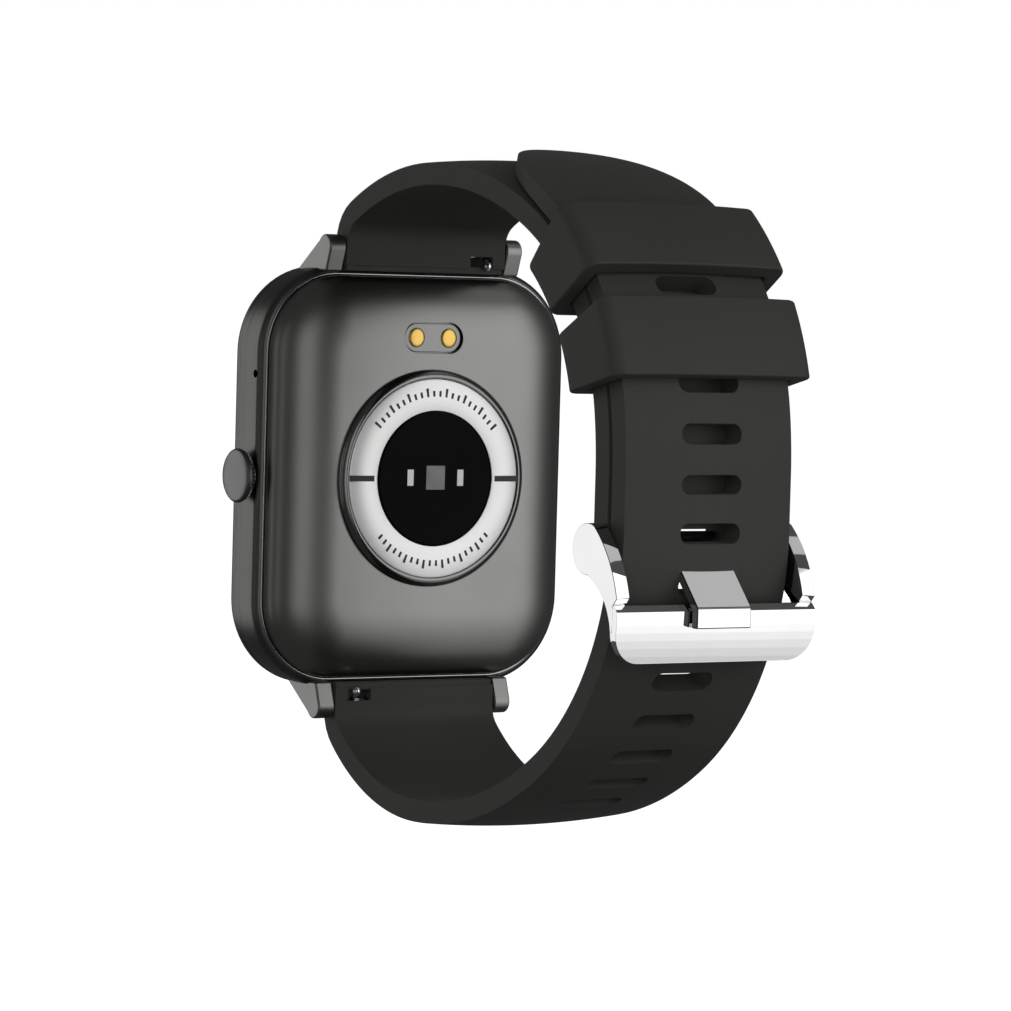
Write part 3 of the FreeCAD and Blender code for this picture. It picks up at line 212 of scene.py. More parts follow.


# %% [markdown]
# ## Helpers for finishes
#
# No real surface is one flat colour. Each finish here starts from two close colours mixed by a
# soft noise, lets the roughness wander a little, and, where a depth is given, adds a fine grain
# through bump: the pits of bead-blasted metal or the skin of moulded silicone. Object coordinates
# are in metres, so a noise scale of 1000 has features a millimetre across.

# %% One helper builds every finish
def finish(name, low, high, metallic=0.0, rough=(0.4, 0.5), blotch=120, grain=6000,
           depth=0.0, stretch=(1, 1, 1), specular=0.5, **sockets):
    """A Principled material: blotches mix two colours, grain sets roughness and bump."""
    material = bpy.data.materials.new(name)
    material.use_nodes = True
    nodes, links = material.node_tree.nodes, material.node_tree.links
    shader = nodes["Principled BSDF"]
    shader.inputs["Metallic"].default_value = metallic
    shader.inputs["Specular IOR Level"].default_value = specular
    for socket, value in sockets.items():
        shader.inputs[socket.replace("_", " ")].default_value = value
    coords = nodes.new("ShaderNodeTexCoord")
    mapping = nodes.new("ShaderNodeMapping")
    mapping.inputs["Scale"].default_value = stretch
    links.new(coords.outputs["Object"], mapping.inputs["Vector"])
    soft = nodes.new("ShaderNodeTexNoise")
    soft.inputs["Scale"].default_value = blotch
    soft.inputs["Detail"].default_value = 4
    fine = nodes.new("ShaderNodeTexNoise")
    fine.inputs["Scale"].default_value = grain
    fine.inputs["Detail"].default_value = 2
    for noise in (soft, fine):
        links.new(mapping.outputs["Vector"], noise.inputs["Vector"])
    ramp = nodes.new("ShaderNodeValToRGB")
    ramp.color_ramp.elements[0].position = 0.3
    ramp.color_ramp.elements[1].position = 0.7
    ramp.color_ramp.elements[0].color = (*low, 1)
    ramp.color_ramp.elements[1].color = (*high, 1)
    links.new(soft.outputs["Fac"], ramp.inputs["Fac"])
    links.new(ramp.outputs["Color"], shader.inputs["Base Color"])
    spread = nodes.new("ShaderNodeMapRange")
    spread.inputs["To Min"].default_value = rough[0]
    spread.inputs["To Max"].default_value = rough[1]
    links.new(fine.outputs["Fac"], spread.inputs["Value"])
    links.new(spread.outputs["Result"], shader.inputs["Roughness"])
    if depth:
        bump = nodes.new("ShaderNodeBump")
        bump.inputs["Strength"].default_value = 0.6
        bump.inputs["Distance"].default_value = depth * MM
        links.new(fine.outputs["Fac"], bump.inputs["Height"])
        links.new(bump.outputs["Normal"], shader.inputs["Normal"])
    return material


GUNMETAL = finish("gunmetal", (0.135, 0.136, 0.131), (0.155, 0.156, 0.15), metallic=1.0,
                  rough=(0.30, 0.38), grain=9000, depth=0.002)
COVER = finish("satin_back", (0.265, 0.266, 0.257), (0.290, 0.291, 0.282), metallic=1.0,
               rough=(0.33, 0.40), grain=9000, depth=0.002)
CROWN = finish("crown_satin", (0.17, 0.17, 0.168), (0.20, 0.20, 0.197), metallic=1.0,
               rough=(0.28, 0.36), grain=8000, depth=0.002)
# Polished metal for the line round the back rim, lighter than the frame it lies on. It is partly a
# real polished edge that mirrors the panels, and partly a painted highlight where the back edge
# catches light.
RIM_PAINTED_HIGHLIGHT = finish("rim_polish_painted_highlight", (0.42, 0.42, 0.41), (0.50, 0.50, 0.49), metallic=1.0,
                   rough=(0.15, 0.22), grain=8000)
SILICONE = finish("silicone", (0.046, 0.046, 0.0425), (0.051, 0.051, 0.047),
                  rough=(0.52, 0.64), blotch=60, grain=7000, depth=0.004, specular=0.22,
                  Sheen_Weight=0.05, Sheen_Roughness=0.5)
CHROME = finish("polished_chrome", (0.86, 0.86, 0.87), (0.90, 0.90, 0.905), metallic=1.0,
                rough=(0.03, 0.06), grain=3000)
# A darker chrome for the rounded edges of the buckle. It is a painted dark reflection: it stands
# in for the thin dark lines that a room with dark corners would mirror along polished edges.
CHROME_PAINTED_DARK_EDGE = finish("chrome_painted_dark_edge", (0.10, 0.10, 0.10), (0.14, 0.14, 0.14), metallic=1.0,
                     rough=(0.10, 0.16), grain=3000)
STEEL = finish("drawn_steel", (0.58, 0.58, 0.59), (0.68, 0.68, 0.69), metallic=1.0,
               rough=(0.18, 0.30), grain=5000, stretch=(0.2, 1, 1))
GOLD = finish("gold_plate", (0.83, 0.53, 0.13), (0.93, 0.64, 0.20), metallic=1.0,
              rough=(0.30, 0.42), grain=9000, depth=0.003)
RING = finish("silver_ring", (0.93, 0.93, 0.925), (0.97, 0.97, 0.96), metallic=0.6,
              rough=(0.32, 0.42), blotch=60, grain=6000, depth=0.001)
RIM = finish("sensor_rim", (0.20, 0.20, 0.196), (0.25, 0.25, 0.245), metallic=1.0,
             rough=(0.18, 0.26), grain=8000)
LENS = finish("black_lens", (0.002, 0.002, 0.0025), (0.003, 0.003, 0.004), rough=(0.03, 0.06),
              specular=0.03)
INK = finish("black_ink", (0.004, 0.004, 0.004), (0.007, 0.007, 0.007), rough=(0.35, 0.45))
DIODE = finish("diode_window", (0.10, 0.10, 0.10), (0.16, 0.16, 0.155), metallic=0.4,
               rough=(0.15, 0.25), blotch=500)
LAMP = finish("lamp_resin", (0.75, 0.76, 0.74), (0.90, 0.90, 0.88), rough=(0.08, 0.14),
              Coat_Weight=1.0)
GLASS = finish("front_glass", (0.004, 0.004, 0.005), (0.006, 0.006, 0.007),
               rough=(0.015, 0.03), Coat_Weight=1.0, Coat_Roughness=0.01)
RUBBER = finish("black_rubber", (0.012, 0.012, 0.012), (0.018, 0.018, 0.018),
                rough=(0.6, 0.75), depth=0.004)
MOULDED = finish("moulded_black", (0.018, 0.018, 0.019), (0.026, 0.026, 0.027),
                 rough=(0.4, 0.55), depth=0.003)
BOARD = finish("solder_mask", (0.008, 0.06, 0.022), (0.014, 0.09, 0.035), rough=(0.25, 0.4),
               blotch=900)
FOIL = finish("battery_foil", (0.45, 0.46, 0.47), (0.6, 0.61, 0.62), metallic=0.9,
              rough=(0.25, 0.4), blotch=300, depth=0.01)
print("finishes:", len(bpy.data.materials))

# %% [markdown]
# ## The stage
#
# The watch is shown from behind and a little to the crown's side, through a long lens, so its
# lines stay almost parallel. The floor is white and shines, as a light table does. It
# takes no part in the reflections: polished metal needs large soft panels with dark gaps
# between them, or it looks flat.

# %% Camera
RIM_PLANE = 26.0                   # origin to the plane where the back cover meets the frame
LENS_LENGTH = 166.91               # millimetres, on a sensor 36 mm wide
VIEW = Vector((0.55522, 0.83041, 0.04584)).normalized()
ROLL = 0.0276134
EYE = (-9.80211, 3.05168, 494.938)  # left, down and back from the rim's centre, in millimetres


def point_camera():
    """Stand the camera back along VIEW, roll it, and slide it so the watch is framed."""
    side = Vector((0, 0, 1)).cross(VIEW).normalized()
    up = VIEW.cross(side)
    right = math.cos(ROLL) * side + math.sin(ROLL) * up
    top = -math.sin(ROLL) * side + math.cos(ROLL) * up
    spot = -EYE[0] * right - EYE[1] * top + EYE[2] * VIEW + Vector((0, -RIM_PLANE, 0))
    data = bpy.data.cameras.new("camera")
    data.lens = LENS_LENGTH
    data.sensor_width = 36.0
    data.clip_start = 0.01
    camera = bpy.data.objects.new("camera", data)
    turned_to = Matrix((right, top, VIEW)).transposed().to_4x4()
    camera.matrix_world = Matrix.Translation(spot * MM) @ turned_to
    bpy.context.scene.collection.objects.link(camera)
    bpy.context.scene.camera = camera
    print("camera at", [round(value, 1) for value in spot], "mm")


point_camera()

# %% Floor, world and panels
bpy.context.scene.view_settings.view_transform = "Standard"


def lay_floor():
    """A wide white plane a little below the band, left out of reflections."""
    reach, level = 9.0, cad_box[0][2] - 0.03
    corners = [(-reach, -reach, level), (reach, -reach, level), (reach, reach, level),
               (-reach, reach, level)]
    mesh = bpy.data.meshes.new("floor")
    mesh.from_pydata(corners, [], [(0, 1, 2, 3)])
    floor = bpy.data.objects.new("floor", mesh)
    bpy.context.scene.collection.objects.link(floor)
    white = bpy.data.materials.new("floor_white")
    white.use_nodes = True
    shader = white.node_tree.nodes["Principled BSDF"]
    shader.inputs["Base Color"].default_value = (0.85, 0.85, 0.85, 1)
    shader.inputs["Roughness"].default_value = 0.9
    shader.inputs["Emission Color"].default_value = (1, 1, 1, 1)
    shader.inputs["Emission Strength"].default_value = 1.0
    mesh.materials.append(white)
    floor.visible_glossy = False
    floor.visible_diffuse = False


def fill_world(seen=1.0, felt=0.08, mirrored=0.07):
    """The eye sees a white room, dull surfaces feel a grey one, and mirrors see a dark one."""
    world = bpy.data.worlds.new("studio")
    bpy.context.scene.world = world
    world.use_nodes = True
    nodes, links = world.node_tree.nodes, world.node_tree.links
    path = nodes.new("ShaderNodeLightPath")
    result = nodes["Background"]
    result.inputs["Color"].default_value = (1, 1, 1, 1)
    result.inputs["Strength"].default_value = felt
    for ray, strength in (("Is Glossy Ray", mirrored), ("Is Camera Ray", seen)):
        room = nodes.new("ShaderNodeBackground")
        room.inputs["Color"].default_value = (1, 1, 1, 1)
        room.inputs["Strength"].default_value = strength
        mix = nodes.new("ShaderNodeMixShader")
        links.new(path.outputs[ray], mix.inputs["Fac"])
        links.new(result.outputs[0], mix.inputs[1])
        links.new(room.outputs[0], mix.inputs[2])
        result = mix
    links.new(result.outputs[0], nodes["World Output"].inputs["Surface"])


PANEL_DISTANCE = 0.7               # metres from the watch to every panel


def panel(name, azimuth, elevation, width, height, radiance, mirrored=True):
    """A soft panel. Azimuth is measured from +Y towards +X; radiance is how white it looks."""
    a, e = math.radians(azimuth), math.radians(elevation)
    way = Vector((math.sin(a) * math.cos(e), math.cos(a) * math.cos(e), math.sin(e)))
    data = bpy.data.lights.new(name, "AREA")
    data.shape = "RECTANGLE"
    data.size, data.size_y = width, height
    data.energy = radiance * math.pi * width * height
    light = bpy.data.objects.new(name, data)
    light.location = way * PANEL_DISTANCE
    light.rotation_euler = way.to_track_quat("Z", "Y").to_euler()
    light.visible_glossy = mirrored
    bpy.context.scene.collection.objects.link(light)


lay_floor()
fill_world()
panel("panel_wrist_side", -34, 13, 0.56, 0.52, 1.3)
for step in range(8):
    panel(f"panel_grade_{step}", -34, -9.0 - 3.4 * step, 0.56, 0.0416, 1.18 * 0.87 ** step)
panel("panel_lower", -34, -39.2, 0.56, 0.07, 0.7)
panel("panel_middle", 10, 4, 0.30, 0.56, 0.8)
panel("panel_high", -56, 53, 0.313, 0.25, 0.42)
panel("panel_bright_strip", 60, 4, 0.08, 0.60, 0.7)
panel("panel_crown_strip", 92, 0, 0.14, 0.60, 0.5)
panel("panel_crown_side", 148, 2, 0.42, 0.60, 0.9)
panel("panel_top_soft", 20, 75, 0.6, 0.5, 0.12, mirrored=False)
panel("panel_front_soft", 40, 12, 0.6, 0.6, 1.35, mirrored=False)

# %% [markdown]
# ## The band's path
#
# Seen from the side, the inner face of each strap is a chain of straight lines and tangent arcs
# that all bend round the wrist. The short strap hangs from the top lugs and ends at the
# buckle's pin. The long strap starts at the bottom lugs, passes inside the buckle plate and
# climbs up outside the short one through two keepers. A strap is then flat work: a point has a
# distance along the path, a place across it and a height above the inner face.

# %% Lines and arcs as one function of distance
pin = np.array([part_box("buckle_pin")[0][i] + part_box("buckle_pin")[1][i] for i in (1, 2)]) * 500
STRAP_HALF = 9.85
LAYER_LIFT = 2.81                  # inner face of the long strap above that of the short one
WRIST_Y = 21.85
SHORT_THICK, LONG_THICK = 2.75, 2.70
ROOT_Z, ROOT_DEPTH, ROOT_LINE = 22.1, 1.1, 2.2   # where a strap starts, and its first line
SHOULDER_RADIUS = 2.6
KEEPER_ARC = 24                    # radius of the stretch that the keepers slide along


class Path:
    """A chain of lines and arcs in the YZ plane. way is +1 when the wrist is on the left."""

    def __init__(self, start, heading, way):
        self.way = way
        self.legs = []
        self.spot = np.array(start, float)
        self.heading = heading
        self.length = 0.0

    def add(self, length, radius=None, turn=0.0):
        """Add a line, or an arc given by its radius and turn in degrees."""
        if radius:
            length = radius * math.radians(turn)
        self.legs.append((self.length, length, self.spot, self.heading, radius))
        end, heading = self.on_leg(self.legs[-1], np.array([length]))
        self.spot, self.heading = end[0], heading[0]
        self.length += length

    def on_leg(self, leg, distance):
        """Points and headings on one leg: the chord of an arc comes from its two tangents."""
        _, _, spot, heading, radius = leg
        a = np.radians(heading)
        if not radius:
            step = distance[:, None] * np.array([np.cos(a), np.sin(a)])
            return spot + step, np.full(len(distance), heading)
        turned = self.way * np.degrees(distance / radius)
        b = np.radians(heading + turned)
        step = radius * self.way * np.stack([np.sin(b) - np.sin(a), np.cos(a) - np.cos(b)], 1)
        return spot + step, heading + turned

    def at(self, distance):
        """Points and outward normals at an array of distances."""
        flat = np.asarray(distance, float).ravel()
        points, headings = np.zeros((len(flat), 2)), np.zeros(len(flat))
        for number, leg in enumerate(self.legs):
            first = -1e9 if number == 0 else leg[0]
            last = 1e9 if number == len(self.legs) - 1 else leg[0] + leg[1]
            here = (flat >= first) & (flat < last)
            points[here], headings[here] = self.on_leg(leg, flat[here] - leg[0])
        a = np.radians(headings - 90 * self.way)
        normals = np.stack([np.cos(a), np.sin(a)], 1)
        shape = np.shape(distance)
        return points.reshape(*shape, 2), normals.reshape(*shape, 2)

    def lift(self, distance, across, height):
        """The point at a distance along, a place across and a height above the inner face."""
        points, normals = self.at(distance)
        side = points + normals * height[..., None]
        return np.concatenate([across[..., None], side], axis=-1)


def arc_run(radius, start, end):
    """How far an arc runs towards the back while its slope goes from start to end."""
    return radius * abs(math.sin(math.radians(end)) - math.sin(math.radians(start)))


def lug_start(sign, thickness, turn, rest, back):
    """Both straps leave the case straight and turn over a tight shoulder. The arc that follows
    has the radius that brings the rest of the path, a known run, exactly to the back."""
    path = Path((thickness - RIM_PLANE - ROOT_DEPTH, ROOT_Z * sign), 90 * sign, -sign)
    path.add(ROOT_LINE)
    path.add(0, SHOULDER_RADIUS, turn)
    reach = back - path.spot[0] - rest
    path.add(0, reach / math.cos(math.radians(turn)), 90 - turn)
    return path


short_path = lug_start(1, SHORT_THICK, 61, arc_run(36, 0, 30) + arc_run(KEEPER_ARC, 30, 82)
                       + arc_run(40, 82, 90), WRIST_Y)
short_path.add(0, 36, 30)
short_path.add(0, KEEPER_ARC, 52)
keeper_normal = np.radians(short_path.heading - 90 * short_path.way)
keeper_centre = short_path.spot - KEEPER_ARC * np.array([np.cos(keeper_normal),
                                                         np.sin(keeper_normal)])
short_path.add(0, 40, 8)
turn_z = short_path.spot[1]
HEEL = 27.7
long_path = lug_start(-1, LONG_THICK, 47, arc_run(38, 0, 33.5) + arc_run(HEEL, 33.5, 90),
                      WRIST_Y + LAYER_LIFT)
for radius, turn in ((38, 33.5), (HEEL, 56.5)):
    long_path.add(0, radius, turn)
low_z = long_path.spot[1]
short_path.add(turn_z - low_z)
heel_middle = HEEL - LAYER_LIFT + SHORT_THICK / 2
short_path.add(0, HEEL - LAYER_LIFT, math.degrees(math.asin((low_z - pin[1]) / heel_middle)))
long_path.add(turn_z - low_z)
for radius, turn in ((40, 8), (KEEPER_ARC, 52), (36, 21)):
    long_path.add(0, radius + LAYER_LIFT, turn)
print("short strap", round(short_path.length, 1), "mm")
print("long strap", round(long_path.length, 1), "mm")
print("keeper arc centre", keeper_centre.round(2), "pin", pin.round(2))

# %% [markdown]
# ## The straps
#
# Moulded silicone straps are a little thicker in the middle than at their edges, and every edge
# is soft. The sheet is laid out flat first. Round each slot the grid becomes a frame: its inner
# loop is the slot's outline, two half circles and two lines, and its outer loop is the cell's
# rectangle, with the same number of points on both. The flat sheet is then lifted twice, to the
# inner and the outer face, and walls are added wherever an edge has only one face.

# %% Flat layout of a strap
SLOT_PITCH, SLOT_LENGTH, SLOT_WIDTH = 4.65, 7.1, 1.9
TANG_WIDTH, TANG_PLAY = 6.4, 0.16  # the tang fills its slot from side to side
SLOTS_EACH_SIDE = 6                # slots on each side of the one that the tang uses
CELL_HALF, CELL_X, CELL_S, RINGS = 6.0, 12, 10, 3


def sheet_part(s, x):
    """One rectangular stretch of the flat sheet as points and quads."""
    grid = np.stack(np.meshgrid(s, x, indexing="ij"), -1)
    return grid.reshape(-1, 2), grid_quads(len(s), len(x))


def slot_cell(centre, length):
    """The rectangle round one slot: rings that morph from the slot's outline to the cell."""
    half_s, round_x, r = SLOT_PITCH / 2, (length - SLOT_WIDTH) / 2, SLOT_WIDTH / 2
    up = np.linspace(-1, 1, CELL_S + 1)[:-1]
    along = np.linspace(1, -1, CELL_X + 1)[:-1]
    bend = up * np.pi / 2
    outer = np.concatenate([
        np.stack([up * half_s, np.full(CELL_S, CELL_HALF)], 1),
        np.stack([np.full(CELL_X, half_s), along * CELL_HALF], 1),
        np.stack([-up * half_s, np.full(CELL_S, -CELL_HALF)], 1),
        np.stack([np.full(CELL_X, -half_s), -along * CELL_HALF], 1)])
    inner = np.concatenate([
        np.stack([np.sin(bend) * r, round_x + np.cos(bend) * r], 1),
        np.stack([np.full(CELL_X, r), along * round_x], 1),
        np.stack([-np.sin(bend) * r, -round_x - np.cos(bend) * r], 1),
        np.stack([np.full(CELL_X, -r), -along * round_x], 1)])
    share = (np.linspace(0, 1, RINGS + 1) ** 1.3)[:, None, None]
    rings = inner * (1 - share) + outer * share
    points = (rings + np.array([centre, 0])).reshape(-1, 2)
    return points, grid_quads(RINGS + 1, rings.shape[1], close_cols=True)


def flat_sheet(start, end, slots, tip=0.0):
    """The whole sheet: plain rows, slotted cells and, for the long strap, an oval tip."""
    side = np.linspace(CELL_HALF, STRAP_HALF, 7)
    middle = np.linspace(-CELL_HALF, CELL_HALF, CELL_X + 1)
    full = np.concatenate([-side[::-1], middle[1:-1], side])
    parts = []
    if len(slots):
        first, last = slots[0] - SLOT_PITCH / 2, slots[-1] + SLOT_PITCH / 2
        rows = np.linspace(first, last, CELL_S * len(slots) + 1)
        lengths = np.full(len(slots), SLOT_LENGTH)
        lengths[SLOTS_EACH_SIDE] = TANG_WIDTH + TANG_PLAY
        parts += [slot_cell(centre, length) for centre, length in zip(slots, lengths)]
        parts += [sheet_part(rows, side), sheet_part(rows, -side[::-1])]
        stretches = ((start, first), (last, end - tip))
    else:
        stretches = ((start, end - tip),)
    for low, high in stretches:
        count = max(2, int((high - low) / 0.55))
        parts.append(sheet_part(np.linspace(low, high, count), full))
    if tip:
        swing = np.linspace(0, np.radians(87.5), 44)
        grid = np.stack(np.meshgrid(swing, full, indexing="ij"), -1)
        s = end - tip + tip * np.sin(grid[..., 0])
        x = grid[..., 1] * np.cos(grid[..., 0])
        parts.append((np.stack([s, x], -1).reshape(-1, 2), grid_quads(len(swing), len(full))))
    points, faces, offset = [], [], 0
    for flat, quads in parts:
        points.append(flat)
        faces.append(np.array(quads) + offset)
        offset += len(flat)
    return np.concatenate(points), np.concatenate(faces)


def thicken(name, path, points, faces, top):
    """Lift a flat sheet to its two faces and wall up its open edges.

    top gives the outer height from (s, x). Coincident flat points are joined first by rounding
    them to a thousandth of a millimetre, so that only true borders have one face.
    """
    keys, where = np.unique(np.round(points * 1000).astype(np.int64), axis=0, return_inverse=True)
    faces = where.ravel()[faces]
    flat = keys / 1000.0
    s, x = flat[:, 0], flat[:, 1]
    lifted = np.concatenate([path.lift(s, x, np.zeros(len(s))), path.lift(s, x, top(s, x))])
    edges = np.stack([faces, np.roll(faces, -1, axis=1)], -1).reshape(-1, 2)
    _, first, count = np.unique(np.sort(edges, axis=1), axis=0, return_index=True,
                                return_counts=True)
    border = edges[first[count == 1]]
    border = border[border[:, 0] != border[:, 1]]
    n = len(s)
    walls = np.stack([border[:, 1], border[:, 0], border[:, 0] + n, border[:, 1] + n], 1)
    every = np.concatenate([faces, faces[:, ::-1] + n, walls])
    return piece_from(name, lifted, every.tolist(), sharp_above=50)


# %% Short strap
CROWN_DROP = 0.5                   # how much thinner a strap is at its edges


def crowned(thickness):
    """Height of the outer face: full in the middle, falling with the square towards the edge."""
    return lambda s, x: thickness - CROWN_DROP * (x / STRAP_HALF) ** 2


def bar_cutter(name, z):
    """The bore for a spring bar, a plain round rod across the band."""
    turn = np.linspace(0, 2 * np.pi, 33)[:-1]
    y, r = 0.5 - RIM_PLANE, 0.85
    ring = np.stack([0 * turn, y + r * np.cos(turn), z + r * np.sin(turn)], -1)
    ends = np.stack([ring + [-12, 0, 0], ring + [12, 0, 0]])
    return grid_piece(name, ends, close_cols=True, caps=True)


def release_cutter(name, sign_x, sign_z):
    """The corner left open for the release knob and its travel."""
    pocket = np.array([(3.1, 21.6), (3.1, 23.05), (1.8, 23.2), (0.8, 24.2), (0.2, 24.2),
                       (0.2, 21.6)])
    loop = np.stack([pocket[:, 0] - RIM_PLANE, sign_z * pocket[:, 1]], 1)
    ends = [np.concatenate([np.full((len(loop), 1), sign_x * x), loop], 1) for x in (5.5, 8.3)]
    return grid_piece(name, np.array(ends), close_cols=True, caps=True)


def notch_cutter():
    """The opening in the short strap's end for the tang's loop."""
    low = (-3.42, pin[0] - 4, pin[1] - 4)
    return block("notch", low, (3.42, pin[0] + 4, pin[1] + 2.0))


sheet, quads = flat_sheet(0, short_path.length + 1.1, [])
short_strap = thicken("strap_short", short_path, sheet, quads, crowned(SHORT_THICK))
carve(short_strap, bar_cutter("bore", 24.0), release_cutter("recess", -1, 1), notch_cutter())
soften(short_strap, 0.28)
fit_in(short_strap, "watch", "silicone", SILICONE, "short_strap")

# %% Long strap
TIP_LENGTH, TIP_THICK = 15.7, 1.45
TANG_SLOPE, TANG_LOOP, TANG_THICK = math.radians(49), 1.75, 0.9
# The tang's middle line leaves the outer layer here, and one slot is centred on it.
TANG_SLOT_Z = (pin[1] + (TANG_LOOP - TANG_THICK / 2) / math.cos(TANG_SLOPE)
               - (WRIST_Y + LAYER_LIFT + LONG_THICK - pin[0]) * math.tan(TANG_SLOPE))


def slot_distances():
    """Slot centres along the path, counted both ways from the one that the tang uses."""
    s = np.linspace(long_path.length * 0.3, long_path.length * 0.8, 4000)
    z = long_path.at(s)[0][:, 1]
    tang_slot = s[np.argmin(abs(z - TANG_SLOT_Z))]
    return tang_slot + SLOT_PITCH * np.arange(-SLOTS_EACH_SIDE, SLOTS_EACH_SIDE + 1)


def long_top(s, x):
    """Full thickness up to the keepers, then thinning smoothly to the tip."""
    start = slots[-1] - 14
    fade = np.clip((s - start) / (long_path.length - start), 0, 1)
    centre = LONG_THICK + 0.05 - (LONG_THICK - TIP_THICK) * fade ** 1.6
    return centre - CROWN_DROP * (1 - 0.45 * fade) * (x / STRAP_HALF) ** 2


slots = slot_distances()
sheet, quads = flat_sheet(0, long_path.length, slots, TIP_LENGTH)
long_strap = thicken("strap_long", long_path, sheet, quads, long_top)
carve(long_strap, bar_cutter("bore", -24.0), release_cutter("recess", 1, -1))
soften(long_strap, 0.26)
fit_in(long_strap, "watch", "silicone", SILICONE, "long_strap")

# %% Lips that close the view between the case and the strap ends
for name, sign in (("lip_top", 1), ("lip_bottom", -1)):
    z = sorted((sign * 21.5, sign * 22.3))
    lip = block(name, (-9.7, 0.08 - RIM_PLANE, z[0]), (9.7, 1.45 - RIM_PLANE, z[1]))
    soften(lip, 0.12)
    fit_in(lip, "watch", "silicone", SILICONE)

# %% [markdown]
# ## The keepers
#
# A keeper is a moulded loop. Its section is a rounded box with a crowned top, and it is carried
# round the same centre as the strap under it, so it can slide without changing its gap.

# %% Two sliding loops
KEEPER_WALL, KEEPER_GAP, KEEPER_LENGTH = 1.7, 0.25, 7.0


def loop_section(half_width, low, high, corner, crown):
    """A rounded rectangle in (x, height) whose upper side bulges by the crown."""
    middle, half = (low + high) / 2, (high - low) / 2
    loop = outline((half_width, half), corner, per_corner=8, per_side=9)
    x, rise = loop[:, 0], np.clip(loop[:, 1] / half, 0, 1)
    return np.stack([x, middle + loop[:, 1] + rise * crown * (1 - (x / half_width) ** 2)], -1)


def keeper(name, node, body, angle):
    """Sweep the loop's section round the keeper centre: out on one side, back on the other."""
    top = LAYER_LIFT + LONG_THICK + KEEPER_GAP - 0.5
    wide = STRAP_HALF + KEEPER_GAP
    inside = loop_section(wide, -KEEPER_GAP, top, 0.3, 0.4)
    outside = loop_section(wide + KEEPER_WALL, -KEEPER_GAP - KEEPER_WALL, top + KEEPER_WALL,
                           1.3, 0.35)
    spread = math.degrees(KEEPER_LENGTH / (KEEPER_ARC + top / 2))
    steps = np.radians(np.linspace(angle - spread / 2, angle + spread / 2, 15))

    def swept(section, turns):
        reach = KEEPER_ARC + section[None, :, 1]
        y = keeper_centre[0] + reach * np.cos(turns)[:, None]
        z = keeper_centre[1] + reach * np.sin(turns)[:, None]
        return np.stack([np.broadcast_to(section[None, :, 0], y.shape), y, z], -1)

    points = np.concatenate([swept(outside, steps), swept(inside, steps[::-1])])
    piece = grid_piece(name, points, close_rows=True, close_cols=True, sharp_above=50)
    soften(piece, 0.25)
    return fit_in(piece, body, "silicone", SILICONE, node)


keeper("keeper_loop_lower", "lower_keeper", "keeper_low", 21.5)
keeper("keeper_loop_upper", "upper_keeper", "keeper_high", 43.0)

# %% [markdown]
# ## The case
#
# The metal frame is one closed section carried round the case's outline, a rectangle with round
# corners. Each point of the section is an inset from the outline and a depth from the back
# cover's rim. The four lugs are horns with a round end about the spring bar, and they overlap
# the frame a little, as one casting would.

# %% Frame
CASE_HALF = (19.0, 22.0)
CASE_CORNER = 9.2


def carried(section, half=CASE_HALF, corner=CASE_CORNER):
    """Rows of points: one loop of the outline for every (inset, depth) of the section."""
    rows = []
    for inset, depth in section:
        loop = outline((half[0] - inset, half[1] - inset), max(corner - inset, 0.05))
        rows.append(np.stack([loop[:, 0], np.full(len(loop), -RIM_PLANE - depth), loop[:, 1]], 1))
    return np.array(rows)


def quarter_turn(centre, radius, start, end, count=8):
    """Points of an arc in the (inset, depth) plane."""
    a = np.radians(np.linspace(start, end, count))
    return [(centre[0] + radius * math.cos(t), centre[1] + radius * math.sin(t)) for t in a]


frame_section = (
    [(0.93, 0.62), (0.93, 0.16)] + quarter_turn((0.80, 0.15), 0.13, 0, -90, 4)
    + quarter_turn((0.80, 0.82), 0.80, -90, -180, 9) + [(0.0, 1.4), (0.0, 2.2), (0.01, 2.8)]
    + [(0.06, 3.4), (0.13, 4.0)] + quarter_turn((1.5, 4.55), 1.42, 190, 92, 12)
    + [(1.47, 5.95), (1.47, 5.38), (2.9, 5.38), (2.9, 4.9), (1.8, 4.9), (1.8, 0.85), (0.93, 0.8)])
case_frame = grid_piece("case_frame", carried(frame_section), close_rows=True, close_cols=True,
                        sharp_above=38)


def round_cutter(name, spot, radius, reach):
    """A short rod along X from a spot, for the microphone's hole."""
    turn = np.linspace(0, 2 * np.pi, 25)[:-1]
    y, z = spot[1] + radius * np.cos(turn), spot[2] + radius * np.sin(turn)
    ring = np.stack([0 * turn, y, z], -1)
    return grid_piece(name, np.stack([ring + [spot[0], 0, 0], ring + [spot[0] + reach, 0, 0]]),
                      close_cols=True, caps=True)


carve(case_frame, round_cutter("mic", (17.0, -RIM_PLANE - 1.0, 10.6), 0.42, 4))
fit_in(case_frame, "watch", "case_metal", GUNMETAL, "mid_frame")

# %% A polished line round the back rim, lighter than the frame: a painted highlight where the back edge catches light
rim_section = [(0.93, 0.3), (0.93, 0.02), (0.90, -0.03), (0.80, -0.05), (0.70, -0.03),
               (0.66, 0.03), (0.66, 0.3)]
fit_in(grid_piece("rim_line", carried(rim_section), close_rows=True, close_cols=True,
                  sharp_above=60), "watch", "case_metal", RIM_PAINTED_HIGHLIGHT)

